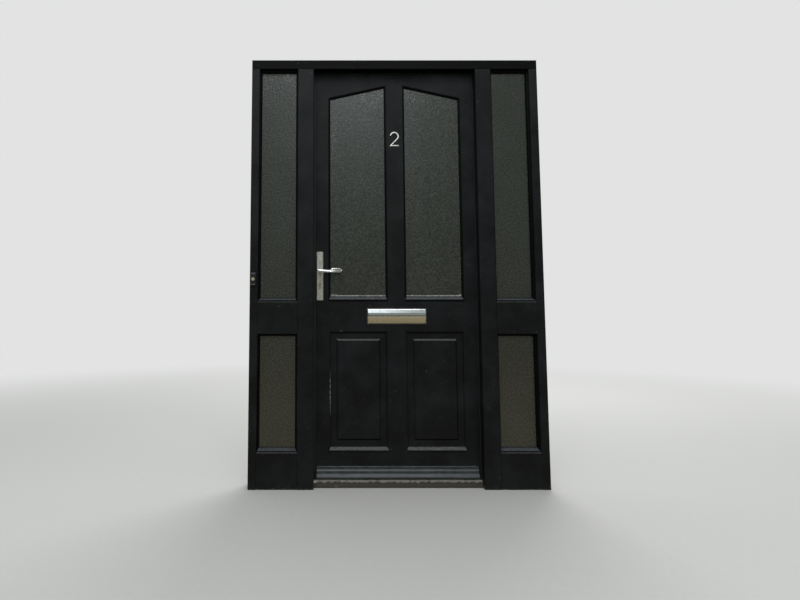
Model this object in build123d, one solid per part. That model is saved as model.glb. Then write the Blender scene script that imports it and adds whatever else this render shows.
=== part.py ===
from build123d import *

import math
import os

# A timber entrance door set: one glazed and panelled leaf between two glazed sidelights,
# all in one frame. Millimetres. X runs to the right seen from outside, Y into the house and
# Z up. The pieces are drawn with Y = 0 on the outside face of the frame, and are moved at the
# end so that the origin is at the middle of the underside, halfway through the frame.

# Frame
FRAME_WIDTH = 1448.0
FRAME_HEIGHT = 2123.0
FRAME_DEPTH = 102.0
HEAD_FACE = 46.0
JAMB_FACE = 40.0
MULLION_FACE = 80.0
ARRIS = 2.0
FRAME_TENON_LENGTH = 28.0
FRAME_TENON_THICKNESS = 24.0
FRAME_TENON_SHOULDER = 10.0
FIXING_RADIUS = 5.0
FIXING_HEAD_RADIUS = 9.0
FIXING_HEAD_DEPTH = 12.0
FIXING_FOOT_RISE = 280.0
FIXING_BELOW_RAIL = 97.0
FIXING_ABOVE_RAIL = 255.0
FIXING_TOP_DROP = 223.0
FIXING_DEPTH_PLACE = 81.0

# Sidelights
SIDE_RAIL_LEVEL = 737.0
SIDE_RAIL_FACE = 158.0
SIDE_BOTTOM_RAIL_FACE = 173.0
SIDE_LIP_HEIGHT = 12.0
SIDE_LIP_THICKNESS = 42.0
SIDE_BEAD_DEPTH = 18.0
SIDE_BEAD_WIDTH = 10.0
SIDE_SILL_BEAD_HEIGHT = 20.0
SIDE_SILL_NOSE = 16.0

# Leaf
LEAF_WIDTH = 838.0
LEAF_THICKNESS = 44.0
LEAF_GAP = 3.0
LEAF_LEVEL = 40.0
STOP_LAP = 12.0
STILE_FACE = 79.0
MUNTIN_FACE = 84.0
JOINERY_SHIFT = 4.0
TOP_RAIL_END_FACE = 139.0
RAKE_ANGLE = 12.7
MID_RAIL_LEVEL = 750.0
MID_RAIL_FACE = 148.0
BOTTOM_RAIL_FACE = 123.0
LEAF_LIP_HEIGHT = 11.0
LEAF_LIP_THICKNESS = 8.0
LEAF_LIP_CHAMFER = 4.0
TENON_THICKNESS = 14.0
TENON_LENGTH = 40.0
MUNTIN_TENON_LENGTH = 20.0
TENON_SHOULDER = 16.0

# Leaf beads and panels
LEAF_BEAD_WIDTH = 10.5
LEAF_SILL_BEAD_HEIGHT = 25.0
SILL_NOSE = 4.0
SILL_FILLET = 2.5
SILL_STEP = 3.0
SILL_STEP_DEPTH = 0.5
SILL_NOSE_SHARE = 0.36
SILL_CHAMFER_SHARE = 0.3
BEAD_QUIRK = 1.5
PANEL_REVEAL = 1.0
PANEL_MARGIN = 36.0
PANEL_BEVEL = 8.0
PANEL_RISE = 7.0

# Sealed glass units
UNIT_THICKNESS = 24.0
PANE_THICKNESS = 4.0
SPACER_WIDTH = 8.0
GLAZING_GAP = 3.0

# Seals
SEAL_GAP = 3.0
SEAL_CLEARANCE = 0.3
SEAL_LIP = 4.0
SEAL_CROWN = 2.0

# Weather bar and threshold
WEATHER_BAR_END_GAP = 15.5
WEATHER_BAR_HEIGHT = 51.0
WEATHER_BAR_RISE = 3.0
WEATHER_BAR_REACH = 27.0
THRESHOLD_HEIGHT = 28.0
THRESHOLD_FRONT = 30.0
THRESHOLD_NOSE = 12.0
THRESHOLD_UPSTAND = 4.0
THRESHOLD_UPSTAND_WIDTH = 6.0
THRESHOLD_WALL = 2.5
THRESHOLD_RIBS = 2
THRESHOLD_RIB_SIZE = 1.6

# Hinges
HINGE_FOOT_RISE = 225.0
HINGE_TOP_DROP = 206.0
HINGE_HEIGHT = 100.0
HINGE_KNUCKLES = 5
HINGE_KNUCKLE_GAP = 0.4
HINGE_KNUCKLE_RADIUS = 6.0
HINGE_PIN_RADIUS = 3.5
HINGE_PIN_CLEARANCE = 0.06
HINGE_PIN_HEAD_RADIUS = 5.0
HINGE_PIN_HEAD_HEIGHT = 4.0
HINGE_FLAP_WIDTH = 30.0
HINGE_FLAP_THICKNESS = 2.5
HINGE_NOTCH = 0.5

# Lock
LEVER_ABOVE_RAIL = 152.0
BACKSET = 40.0
CYLINDER_DROP = 67.0
DEADBOLT_DROP = 31.0
LOCK_CASE_THICKNESS = 16.0
LOCK_CASE_TAIL = 24.0
LOCK_CASE_ABOVE = 42.0
LOCK_CASE_BELOW = 112.0
FOREND_WIDTH = 20.0
FOREND_THICKNESS = 3.0
FOREND_OVERHANG = 26.0
FOLLOWER_RADIUS = 9.5
SPINDLE_SIZE = 8.0
SHAFT_CLEARANCE = 0.08
SLIDE_CLEARANCE = 0.35
LATCH_THICKNESS = 11.0
LATCH_HEIGHT = 16.0
LATCH_THROW = 12.5
LATCH_BODY = 13.0
DEADBOLT_THICKNESS = 12.0
DEADBOLT_HEIGHT = 22.0
DEADBOLT_BODY = 40.0
DEADBOLT_CHAMFER = 1.0
LATCH_NIB = 2.2
KEEP_WIDTH = 26.0
KEEP_THICKNESS = 2.5
KEEP_OVERHANG = 28.0
KEEP_POCKET_DEPTH = 22.0
KEEP_POCKET_EASE = 2.5

# Euro profile cylinder
CYLINDER_RADIUS = 8.5
CYLINDER_BODY_HEIGHT = 33.0
CYLINDER_WEB = 10.0
CYLINDER_PROUD = 2.0
PLUG_RADIUS = 6.5
PLUG_PROUD = 1.0
KEYWAY_WIDTH = 1.8
KEYWAY_HEIGHT = 8.0
KEYWAY_DEPTH = 6.0
CAM_WIDTH = 9.0
CAM_REACH = 14.0
CAM_THICKNESS = 7.0
CAM_CLEARANCE = 0.5

# Handles
PLATE_WIDTH = 35.0
PLATE_HEIGHT = 244.0
PLATE_THICKNESS = 9.0
PLATE_CORNER = 4.0
PLATE_BEVEL = 3.0
PLATE_ABOVE = 96.0
PLATE_BOLT_SPACING = 215.0
PLATE_BOLT_RADIUS = 2.5
PLATE_BOLT_HEAD_RADIUS = 4.5
PLATE_BOLT_HEAD_HEIGHT = 1.5
LEVER_NECK_RADIUS = 9.0
LEVER_COLLAR_RADIUS = 11.5
LEVER_COLLAR_HEIGHT = 5.0
LEVER_STANDOFF = 42.0
LEVER_LENGTH = 112.5
LEVER_DROP = 14.5
LEVER_ROOT_HEIGHT = 17.0
LEVER_WAIST_HEIGHT = 12.0
LEVER_WAIST_PLACE = 54.0
LEVER_SWEEP_SHARE = 0.35
LEVER_GRIP_HEIGHT = 21.0
LEVER_GRIP_PLACE = 60.0
LEVER_SLANT = 11.5
LEVER_TIP_RISE = 13.5
LEVER_ROUND = 1.5
LEVER_BAR_THICKNESS = 9.0
LEVER_TIP_THICKNESS = 4.5
LEVER_BOW = 6.0
LEVER_NECK_OVERLAP = 3.0
SPINDLE_GRIP = 21.0

# Letter plate
LETTER_SIDE = 27.0
LETTER_RAIL = 19.0
LETTER_THICKNESS = 6.0
LETTER_CORNER = 3.0
LETTER_CHAMFER = 1.2
LETTER_SKIN = 2.0
LETTER_SLOT_WIDTH = 246.0
LETTER_SLOT_HEIGHT = 42.0
LETTER_SLEEVE_WALL = 1.5
LETTER_BORDER = 7.0
FLAP_THICKNESS = 2.0
FLAP_BULGE = 9.0
FLAP_BARREL_RADIUS = 2.5
FLAP_PIN_RADIUS = 1.5
FLAP_CLEARANCE = 0.4
FLAP_BOTTOM_BORDER = 5.0
INNER_FLAP_BULGE = 3.0
INNER_LETTER_THICKNESS = 5.0
LUG_WIDTH = 4.0
LETTER_BOLT_RADIUS = 2.0
LETTER_BOLT_MARGIN = 9.0
LETTER_BOLT_HEAD_RADIUS = 4.0
LETTER_BOLT_HEAD_HEIGHT = 1.6

# Guard strip on the frame beside the handle
GUARD_HEIGHT = 236.0
GUARD_THICKNESS = 2.5
GUARD_WIDTH = 26.0
GUARD_SETBACK = 14.0
GUARD_CHAMFER = 0.8

# Bell push
BELL_WIDTH = 30.0
BELL_HEIGHT = 65.0
BELL_THICKNESS = 13.0
BELL_LEVEL = 1006.0
BELL_INSET = 2.0
BELL_CORNER = 4.0
BELL_EDGE = 2.0
BELL_BUTTON_RADIUS = 8.5
BELL_BUTTON_PROUD = 2.5
BELL_BUTTON_ROUND = 1.5
BELL_BUTTON_LENGTH = 7.0
BELL_TRAVEL = 1.6
BELL_BUTTON_CLEARANCE = 0.35
BELL_FLANGE = 1.2
BELL_FLANGE_THICKNESS = 1.5

# Places that follow from the sizes above
FRAME_HALF = FRAME_WIDTH / 2
HEAD_LEVEL = FRAME_HEIGHT - HEAD_FACE
LEAF_HALF = LEAF_WIDTH / 2
REBATE_HALF = LEAF_HALF + LEAF_GAP
DOORWAY_HALF = REBATE_HALF - STOP_LAP
MULLION_OUTER = DOORWAY_HALF + MULLION_FACE
JAMB_INNER = FRAME_HALF - JAMB_FACE
REBATE_LEVEL = HEAD_LEVEL + STOP_LAP
LEAF_TOP = REBATE_LEVEL - LEAF_GAP
LEAF_FRONT = FRAME_DEPTH - LEAF_THICKNESS
SHOULDER = LEAF_FRONT - SEAL_GAP
SIDE_GLASS_BACK = FRAME_DEPTH - SIDE_LIP_THICKNESS
SIDE_GLASS_FRONT = SIDE_GLASS_BACK - UNIT_THICKNESS
SIDE_RAIL_TOP = SIDE_RAIL_LEVEL + SIDE_RAIL_FACE
FIXING_LEVELS = (
    FIXING_FOOT_RISE,
    SIDE_RAIL_LEVEL - FIXING_BELOW_RAIL,
    SIDE_RAIL_TOP + FIXING_ABOVE_RAIL,
    FRAME_HEIGHT - FIXING_TOP_DROP,
)
LEAF_GLASS_BACK = FRAME_DEPTH - LEAF_LIP_THICKNESS
LEAF_GLASS_FRONT = LEAF_GLASS_BACK - UNIT_THICKNESS
LEAF_BEAD_DEPTH = LEAF_GLASS_FRONT - LEAF_FRONT
STILE_EDGE = LEAF_HALF - STILE_FACE
MUNTIN_EDGE = MUNTIN_FACE / 2
STILE_LIP = STILE_EDGE - LEAF_LIP_HEIGHT
MUNTIN_LIP = MUNTIN_EDGE + LEAF_LIP_HEIGHT
MID_RAIL_TOP = MID_RAIL_LEVEL + MID_RAIL_FACE
BOTTOM_RAIL_TOP = LEAF_LEVEL + BOTTOM_RAIL_FACE
RAKE_SLOPE = math.tan(math.radians(RAKE_ANGLE))
RAKE_END = LEAF_TOP - TOP_RAIL_END_FACE
LIP_RISE = LEAF_LIP_HEIGHT / math.cos(math.radians(RAKE_ANGLE))
LEAF_MIDDLE = LEAF_FRONT + LEAF_THICKNESS / 2
HINGE_LOW = LEAF_LEVEL + HINGE_FOOT_RISE
HINGE_HIGH = LEAF_TOP - HINGE_TOP_DROP
HINGE_LEVELS = (HINGE_LOW, (HINGE_LOW + HINGE_HIGH) / 2, HINGE_HIGH)
HINGE_X = LEAF_HALF + LEAF_GAP / 2
HINGE_Y = FRAME_DEPTH + HINGE_KNUCKLE_RADIUS
LOCK_X = BACKSET - LEAF_HALF
LEVER_LEVEL = MID_RAIL_TOP + LEVER_ABOVE_RAIL
CYLINDER_LEVEL = LEVER_LEVEL - CYLINDER_DROP
DEADBOLT_LEVEL = LEVER_LEVEL - DEADBOLT_DROP
FOREND_BACK = FOREND_THICKNESS - LEAF_HALF
PLATE_LEVEL = LEVER_LEVEL + PLATE_ABOVE - PLATE_HEIGHT / 2
LETTER_LEVEL = MID_RAIL_LEVEL + MID_RAIL_FACE / 2
LETTER_WIDTH = LETTER_SLOT_WIDTH + 2 * LETTER_SIDE
LETTER_HEIGHT = LETTER_SLOT_HEIGHT + 2 * LETTER_RAIL
LETTER_BOLT_SPACING = LETTER_SLOT_WIDTH + 2 * LETTER_BOLT_MARGIN
BELL_X = BELL_INSET + BELL_WIDTH / 2 - FRAME_HALF


def block(x, y, z):
    """A box from three (low, high) pairs."""
    size = [high - low for low, high in (x, y, z)]
    return Pos(x[0], y[0], z[0]) * Box(*size, align=(Align.MIN, Align.MIN, Align.MIN))


def bar_x(outline, low, high):
    """A bar along X whose section is a list of (y, z) points."""
    face = make_face(Polyline(*[(low, y, z) for y, z in outline], close=True))
    return extrude(face, amount=high - low, dir=(1, 0, 0))


def bar_y(outline, low, high):
    """A slab along Y whose elevation is a list of (x, z) points."""
    face = make_face(Polyline(*[(x, low, z) for x, z in outline], close=True))
    return extrude(face, amount=high - low, dir=(0, 1, 0))


def bar_z(outline, low, high):
    """A post along Z whose plan is a list of (x, y) points."""
    face = make_face(Polyline(*[(x, y, low) for x, y in outline], close=True))
    return extrude(face, amount=high - low, dir=(0, 0, 1))


def rod_y(x, z, radius, low, high):
    """A round bar along Y."""
    rod = Cylinder(radius, high - low, align=(Align.CENTER, Align.CENTER, Align.MIN))
    return Pos(x, low, z) * Rot(-90, 0, 0) * rod


def rod_x(y, z, radius, low, high):
    """A round bar along X."""
    rod = Cylinder(radius, high - low, align=(Align.CENTER, Align.CENTER, Align.MIN))
    return Pos(low, y, z) * Rot(0, 90, 0) * rod


def rod_z(x, y, radius, low, high):
    """A round bar along Z."""
    rod = Cylinder(radius, high - low, align=(Align.CENTER, Align.CENTER, Align.MIN))
    return Pos(x, y, low) * rod


def other_side(shape):
    """The same piece on the other side of the middle line."""
    return mirror(shape, Plane.YZ)


def rake(x):
    """Height of the raked top edge of a light's rebate at this distance from the middle."""
    return RAKE_END + (STILE_EDGE - abs(x)) * RAKE_SLOPE


def lip_rake(x):
    """Height of the raked top edge of a light's opening on the room side."""
    return rake(x) - LIP_RISE


def inset_corners(outer, widths):
    """Corners of an outline moved inward, each edge by its own width. Edges run clockwise
    seen from outside: edge i goes from corner i to corner i + 1."""
    lines = []
    for i, (x, z) in enumerate(outer):
        far_x, far_z = outer[(i + 1) % len(outer)]
        length = math.hypot(far_x - x, far_z - z)
        dx, dz = (far_x - x) / length, (far_z - z) / length
        lines.append((x + dz * widths[i], z - dx * widths[i], dx, dz))
    corners = []
    for i in range(len(outer)):
        ax, az, adx, adz = lines[i - 1]
        bx, bz, bdx, bdz = lines[i]
        along = ((bx - ax) * bdz - (bz - az) * bdx) / (adx * bdz - adz * bdx)
        corners.append((ax + along * adx, az + along * adz))
    return corners


def mitred_strip(outer, inner, i, section, front):
    """One length of bead along edge i, mitred where it meets its neighbours. The section
    is a face drawn in X inward from the edge and Y back from the front."""
    ax, az = outer[i]
    bx, bz = outer[(i + 1) % len(outer)]
    length = math.hypot(bx - ax, bz - az)
    along = Vector(bx - ax, 0, bz - az) / length
    inward = Vector(along.Z, 0, -along.X)
    start = Vector(ax, front, az) - along * length
    plane = Plane(origin=start, x_dir=inward, z_dir=inward.cross(Vector(0, 1, 0)))
    length_of_bead = extrude(plane * section, amount=3 * length, dir=tuple(along))
    j = (i + 1) % len(outer)
    room = bar_y([outer[i], outer[j], inner[j], inner[i]], 0, FRAME_DEPTH)
    return length_of_bead & room


def ovolo_section(width, depth):
    """A quarter round bead with a small quirk beside the rebate."""
    edge = BEAD_QUIRK
    foot = depth - BEAD_QUIRK
    turn = math.sqrt(0.5)
    middle = (edge + (width - edge) * turn, foot - (foot - edge) * turn)
    outline = Polyline((edge, edge), (edge, 0), (0, 0), (0, depth), (width, depth), (width, foot))
    return make_face(outline + ThreePointArc((width, foot), middle, (edge, edge)))


def sill_section(height, depth, nose):
    """A weathered bead: a slope from a fillet at the glass to a nose in front."""
    nose_top = height * SILL_NOSE_SHARE
    chamfer_size = nose_top * SILL_CHAMFER_SHARE
    outline = Polyline(
        (0, depth),
        (height, depth),
        (height, depth - SILL_FILLET),
        (height - SILL_STEP, depth - SILL_FILLET - SILL_STEP_DEPTH),
        (nose_top, -nose),
        (chamfer_size, -nose),
        (0, -nose + chamfer_size),
        close=True,
    )
    return make_face(outline)


def bead_ring(outer, width, sill_height, depth, front, nose):
    """Four mitred beads round one light: side, head and side with a quarter round, and a
    weathered one along the bottom. Corners run from bottom left, clockwise."""
    inner = inset_corners(outer, [width, width, width, sill_height])
    round_bead = ovolo_section(width, depth)
    strips = [mitred_strip(outer, inner, i, round_bead, front) for i in range(3)]
    strips.append(mitred_strip(outer, inner, 3, sill_section(sill_height, depth, nose), front))
    return Compound([strip.solid() for strip in strips])


def glass_unit(outer, front):
    """Two panes and the spacer between them, inside a rebate with this outline."""
    edge = inset_corners(outer, [GLAZING_GAP] * len(outer))
    inside = inset_corners(edge, [SPACER_WIDTH] * len(outer))
    back = front + UNIT_THICKNESS
    panes = [bar_y(edge, front, front + PANE_THICKNESS), bar_y(edge, back - PANE_THICKNESS, back)]
    spacer = bar_y(edge, front + PANE_THICKNESS, back - PANE_THICKNESS)
    spacer -= bar_y(inside, front + PANE_THICKNESS, back - PANE_THICKNESS)
    return Compound([*[pane.solid() for pane in panes], spacer.solid()])


def rectangle(low_x, high_x, low_z, high_z):
    """Corners of an upright rectangle, from bottom left, clockwise seen from outside."""
    return [(low_x, low_z), (low_x, high_z), (high_x, high_z), (high_x, low_z)]


def raked_light(lip):
    """Outline of the left light of the leaf: its rebate, or with lip its narrower opening."""
    low_x = -STILE_LIP if lip else -STILE_EDGE
    high_x = -MUNTIN_LIP if lip else -MUNTIN_EDGE
    low_z = MID_RAIL_TOP + (LEAF_LIP_HEIGHT if lip else 0)
    top = lip_rake if lip else rake
    return [(low_x, low_z), (low_x, top(low_x)), (high_x, top(high_x)), (high_x, low_z)]


def panel_light(lip):
    """Outline of the left panel's rebate, or with lip its narrower opening."""
    inset = LEAF_LIP_HEIGHT if lip else 0
    return rectangle(
        -STILE_EDGE + inset, -MUNTIN_EDGE - inset, BOTTOM_RAIL_TOP + inset, MID_RAIL_LEVEL - inset
    )


def side_bay(low, high):
    """Outline of the left sidelight between two heights."""
    return rectangle(-JAMB_INNER, -MULLION_OUTER, low, high)


# Frame


def frame_tenon(low_x, high_x):
    """The tenon on top of a post, which the head's mortise repeats."""
    middle = FRAME_DEPTH / 2
    half = FRAME_TENON_THICKNESS / 2
    return block(
        (low_x + FRAME_TENON_SHOULDER, high_x - FRAME_TENON_SHOULDER),
        (middle - half, middle + half),
        (HEAD_LEVEL, HEAD_LEVEL + FRAME_TENON_LENGTH),
    )


def left_tenons():
    jamb = frame_tenon(-FRAME_HALF, -JAMB_INNER)
    mullion = frame_tenon(-MULLION_OUTER, -REBATE_HALF)
    return jamb, mullion


def side_lips(low_z, high_z):
    """Room between the upright lips of the left sidelight, on the room side."""
    return block(
        (SIDE_LIP_HEIGHT - JAMB_INNER, -MULLION_OUTER - SIDE_LIP_HEIGHT),
        (SIDE_GLASS_BACK, FRAME_DEPTH),
        (low_z, high_z),
    )


def frame_head():
    outline = [
        (ARRIS, HEAD_LEVEL),
        (FRAME_DEPTH, HEAD_LEVEL),
        (FRAME_DEPTH, FRAME_HEIGHT),
        (0, FRAME_HEIGHT),
        (0, HEAD_LEVEL + ARRIS),
    ]
    head = bar_x(outline, -FRAME_HALF, FRAME_HALF)
    head -= block((-REBATE_HALF, REBATE_HALF), (SHOULDER, FRAME_DEPTH), (HEAD_LEVEL, REBATE_LEVEL))
    lip = side_lips(HEAD_LEVEL - SIDE_LIP_HEIGHT, HEAD_LEVEL)
    head = head + lip + other_side(lip)
    for tenon in left_tenons():
        head = head - tenon - other_side(tenon)
    return head


def fixing_hole(level):
    """A screw hole through the left jamb and its lip, with a larger hole for its head."""
    face = SIDE_LIP_HEIGHT - JAMB_INNER
    through = rod_x(FIXING_DEPTH_PLACE, level, FIXING_RADIUS, -FRAME_HALF, face)
    head = rod_x(
        FIXING_DEPTH_PLACE, level, FIXING_HEAD_RADIUS, face - FIXING_HEAD_DEPTH, face
    )
    return through + head


def frame_jamb():
    """The left jamb, with a lip on the room side for the glass to bear on."""
    outline = [
        (-FRAME_HALF, 0),
        (-JAMB_INNER - ARRIS, 0),
        (-JAMB_INNER, ARRIS),
        (-JAMB_INNER, SIDE_GLASS_BACK),
        (-JAMB_INNER + SIDE_LIP_HEIGHT, SIDE_GLASS_BACK),
        (-JAMB_INNER + SIDE_LIP_HEIGHT, FRAME_DEPTH),
        (-FRAME_HALF, FRAME_DEPTH),
    ]
    jamb = bar_z(outline, 0, HEAD_LEVEL) + left_tenons()[0]
    for level in FIXING_LEVELS:
        jamb -= fixing_hole(level)
    return jamb


def mullion():
    """The left mullion: a lip for the sidelight's glass, and a rebate for the leaf."""
    outline = [
        (-MULLION_OUTER, ARRIS),
        (-MULLION_OUTER + ARRIS, 0),
        (-DOORWAY_HALF - ARRIS, 0),
        (-DOORWAY_HALF, ARRIS),
        (-DOORWAY_HALF, SHOULDER),
        (-REBATE_HALF, SHOULDER),
        (-REBATE_HALF, FRAME_DEPTH),
        (-MULLION_OUTER - SIDE_LIP_HEIGHT, FRAME_DEPTH),
        (-MULLION_OUTER - SIDE_LIP_HEIGHT, SIDE_GLASS_BACK),
        (-MULLION_OUTER, SIDE_GLASS_BACK),
    ]
    return bar_z(outline, 0, HEAD_LEVEL) + left_tenons()[1]


def side_rail(low, high, lip_below):
    """A rail across the left sidelight, with its own lips, scribed over the upright ones."""
    outline = [
        (ARRIS, low),
        (SIDE_GLASS_BACK, low),
        (SIDE_GLASS_BACK, high),
        (ARRIS, high),
        (0, high - ARRIS),
        (0, low + ARRIS),
    ]
    body = bar_x(outline, -JAMB_INNER, -MULLION_OUTER)
    bottom = low - SIDE_LIP_HEIGHT if lip_below else low
    return body + side_lips(bottom, high + SIDE_LIP_HEIGHT)


def side_glass(low, high):
    return glass_unit(side_bay(low, high), SIDE_GLASS_FRONT)


def side_beads():
    """The beads of the upper and the lower light of the left sidelight."""
    rings = [
        bead_ring(
            side_bay(low, high),
            SIDE_BEAD_WIDTH,
            SIDE_SILL_BEAD_HEIGHT,
            SIDE_BEAD_DEPTH,
            SIDE_GLASS_FRONT - SIDE_BEAD_DEPTH,
            SIDE_SILL_NOSE,
        )
        for low, high in ((SIDE_RAIL_TOP, HEAD_LEVEL), (SIDE_BOTTOM_RAIL_FACE, SIDE_RAIL_LEVEL))
    ]
    return Compound([solid for ring in rings for solid in ring.solids()])


def threshold_top(y):
    """Height of the sloping tread of the threshold."""
    run = (y - THRESHOLD_FRONT) / (SHOULDER - THRESHOLD_FRONT)
    return THRESHOLD_NOSE + (THRESHOLD_HEIGHT - THRESHOLD_NOSE) * run


def threshold():
    """A hollow extrusion between the mullions, with grip ribs on its slope."""
    outline = [(THRESHOLD_FRONT, 0), (THRESHOLD_FRONT, THRESHOLD_NOSE)]
    pitch = (SHOULDER - THRESHOLD_FRONT) / (THRESHOLD_RIBS + 1)
    for i in range(1, THRESHOLD_RIBS + 1):
        y = THRESHOLD_FRONT + pitch * i
        foot = THRESHOLD_RIB_SIZE
        outline.append((y - foot, threshold_top(y - foot)))
        outline.append((y, threshold_top(y) + THRESHOLD_RIB_SIZE))
        outline.append((y + foot, threshold_top(y + foot)))
    upstand_back = SHOULDER + THRESHOLD_UPSTAND_WIDTH
    outline += [
        (SHOULDER, THRESHOLD_HEIGHT),
        (SHOULDER, THRESHOLD_HEIGHT + THRESHOLD_UPSTAND),
        (upstand_back, THRESHOLD_HEIGHT + THRESHOLD_UPSTAND),
        (upstand_back, THRESHOLD_HEIGHT),
        (FRAME_DEPTH, THRESHOLD_HEIGHT),
        (FRAME_DEPTH, 0),
    ]
    body = bar_x(outline, -DOORWAY_HALF, DOORWAY_HALF)
    wall = THRESHOLD_WALL
    front_room = [
        (THRESHOLD_FRONT + wall, wall),
        (THRESHOLD_FRONT + wall, THRESHOLD_NOSE - wall),
        (SHOULDER - wall, THRESHOLD_HEIGHT - 2 * wall),
        (SHOULDER - wall, wall),
    ]
    back_room = [
        (SHOULDER, wall),
        (SHOULDER, THRESHOLD_HEIGHT - wall),
        (FRAME_DEPTH - wall, THRESHOLD_HEIGHT - wall),
        (FRAME_DEPTH - wall, wall),
    ]
    for room in (front_room, back_room):
        body -= bar_x(room, -DOORWAY_HALF, DOORWAY_HALF)
    return body


def threshold_seal():
    """A rubber strip on the threshold's upstand, just clear of the leaf's underside."""
    foot = THRESHOLD_HEIGHT + THRESHOLD_UPSTAND
    top = LEAF_LEVEL - SEAL_CLEARANCE
    back = SHOULDER + THRESHOLD_UPSTAND_WIDTH
    outline = [(SHOULDER, foot), (back - SEAL_CROWN, top), (back, top), (back, foot)]
    return bar_x(outline, -DOORWAY_HALF, DOORWAY_HALF)


def frame_seal():
    """One rubber strip round the doorway, on the shoulder that the leaf closes to."""
    outer = REBATE_HALF - SEAL_CLEARANCE
    inner = DOORWAY_HALF - SEAL_LIP
    foot = LEAF_LEVEL
    depth = (SHOULDER, LEAF_FRONT - SEAL_CLEARANCE)
    ring = block((-outer, outer), depth, (foot, REBATE_LEVEL - SEAL_CLEARANCE))
    return ring - block((-inner, inner), depth, (foot, HEAD_LEVEL - SEAL_LIP))


# Leaf


def rail_tenon(low_z, high_z, edge, length):
    """A tenon on the left end of a rail whose shoulder is at this X."""
    half = TENON_THICKNESS / 2
    return block(
        (edge - length, edge), (LEAF_MIDDLE - half, LEAF_MIDDLE + half), (low_z, high_z)
    )


def stile_tenons():
    """The tenons that enter the left stile: bottom rail, two on the mid rail, top rail."""
    middle = (MID_RAIL_LEVEL + MID_RAIL_TOP) / 2
    spans = (
        (LEAF_LEVEL + TENON_SHOULDER, BOTTOM_RAIL_TOP - TENON_SHOULDER),
        (MID_RAIL_LEVEL, middle - TENON_SHOULDER),
        (middle + TENON_SHOULDER, MID_RAIL_TOP),
        (RAKE_END + TENON_SHOULDER, LEAF_TOP - TENON_SHOULDER),
    )
    return [rail_tenon(low, high, -STILE_LIP, TENON_LENGTH) for low, high in spans]


def muntin_tenon(low_z, high_z):
    """A tenon on the end of a muntin, between two heights."""
    half_x = MUNTIN_EDGE - TENON_SHOULDER
    half_y = TENON_THICKNESS / 2
    return block((-half_x, half_x), (LEAF_MIDDLE - half_y, LEAF_MIDDLE + half_y), (low_z, high_z))


def muntin_tenons():
    """The four tenons of the muntins, from the lowest up."""
    bottom = BOTTOM_RAIL_TOP + LEAF_LIP_HEIGHT
    below_mid = MID_RAIL_LEVEL - LEAF_LIP_HEIGHT
    above_mid = MID_RAIL_TOP + LEAF_LIP_HEIGHT
    top = lip_rake(MUNTIN_EDGE - TENON_SHOULDER)
    return [
        muntin_tenon(bottom - MUNTIN_TENON_LENGTH, bottom),
        muntin_tenon(below_mid, below_mid + MUNTIN_TENON_LENGTH),
        muntin_tenon(above_mid - MUNTIN_TENON_LENGTH, above_mid),
        muntin_tenon(top, top + MUNTIN_TENON_LENGTH),
    ]


def light_cut(rebate, opening):
    """What a light takes out of the leaf: its rebate, and its opening with eased edges."""
    cut = bar_y(rebate, LEAF_FRONT, LEAF_GLASS_BACK)
    cut += bar_y(opening, LEAF_GLASS_BACK, FRAME_DEPTH)
    eased = inset_corners(opening, [-LEAF_LIP_CHAMFER] * len(opening))
    inner_face = make_face(
        Polyline(*[(x, FRAME_DEPTH - LEAF_LIP_CHAMFER, z) for x, z in opening], close=True)
    )
    outer_face = make_face(Polyline(*[(x, FRAME_DEPTH, z) for x, z in eased], close=True))
    return cut + loft([inner_face, outer_face])


def leaf_cuts():
    """The two lights and the two panel openings of the leaf."""
    upper = light_cut(raked_light(False), raked_light(True))
    lower = light_cut(panel_light(False), panel_light(True))
    return [upper, lower, other_side(upper), other_side(lower)]


def carve(blank, cuts):
    for cut in cuts:
        blank = blank - cut
    return blank


def set_over(shape):
    """The joinery inside the stiles lies a little nearer the hinges than the leaf's middle."""
    return Pos(JOINERY_SHIFT, 0, 0) * shape


def stile_blank(reach):
    """The left stile before lock or hinges are let in, as far out as this from the middle
    of the joinery."""
    blank = block((-reach, -STILE_LIP), (LEAF_FRONT, FRAME_DEPTH), (LEAF_LEVEL, LEAF_TOP))
    for tenon in stile_tenons():
        blank -= tenon
    return blank


def lock_stile(cuts):
    stile = set_over(carve(stile_blank(LEAF_HALF + JOINERY_SHIFT), cuts))
    stile -= lock_case_body()
    stile -= forend_body()
    stile -= rod_y(LOCK_X, LEVER_LEVEL, FOLLOWER_RADIUS, LEAF_FRONT, FRAME_DEPTH)
    stile -= euro_profile(LEAF_FRONT, FRAME_DEPTH, CAM_CLEARANCE)
    for x, z in plate_bolt_places():
        stile -= rod_y(x, z, PLATE_BOLT_RADIUS, LEAF_FRONT, FRAME_DEPTH)
    return stile


def hinge_stile(cuts):
    stile = set_over(carve(other_side(stile_blank(LEAF_HALF - JOINERY_SHIFT)), cuts))
    for level in HINGE_LEVELS:
        stile -= flap_recess(LEAF_HALF - HINGE_FLAP_THICKNESS, level)
    return stile


def top_rail(cuts):
    half = STILE_LIP
    outline = [
        (-half, lip_rake(half)),
        (-half, LEAF_TOP),
        (half, LEAF_TOP),
        (half, lip_rake(half)),
        (0, lip_rake(0)),
    ]
    rail = bar_y(outline, LEAF_FRONT, FRAME_DEPTH)
    tenon = stile_tenons()[3]
    rail = rail + tenon + other_side(tenon) - muntin_tenons()[3]
    return carve(rail, cuts)


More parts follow.
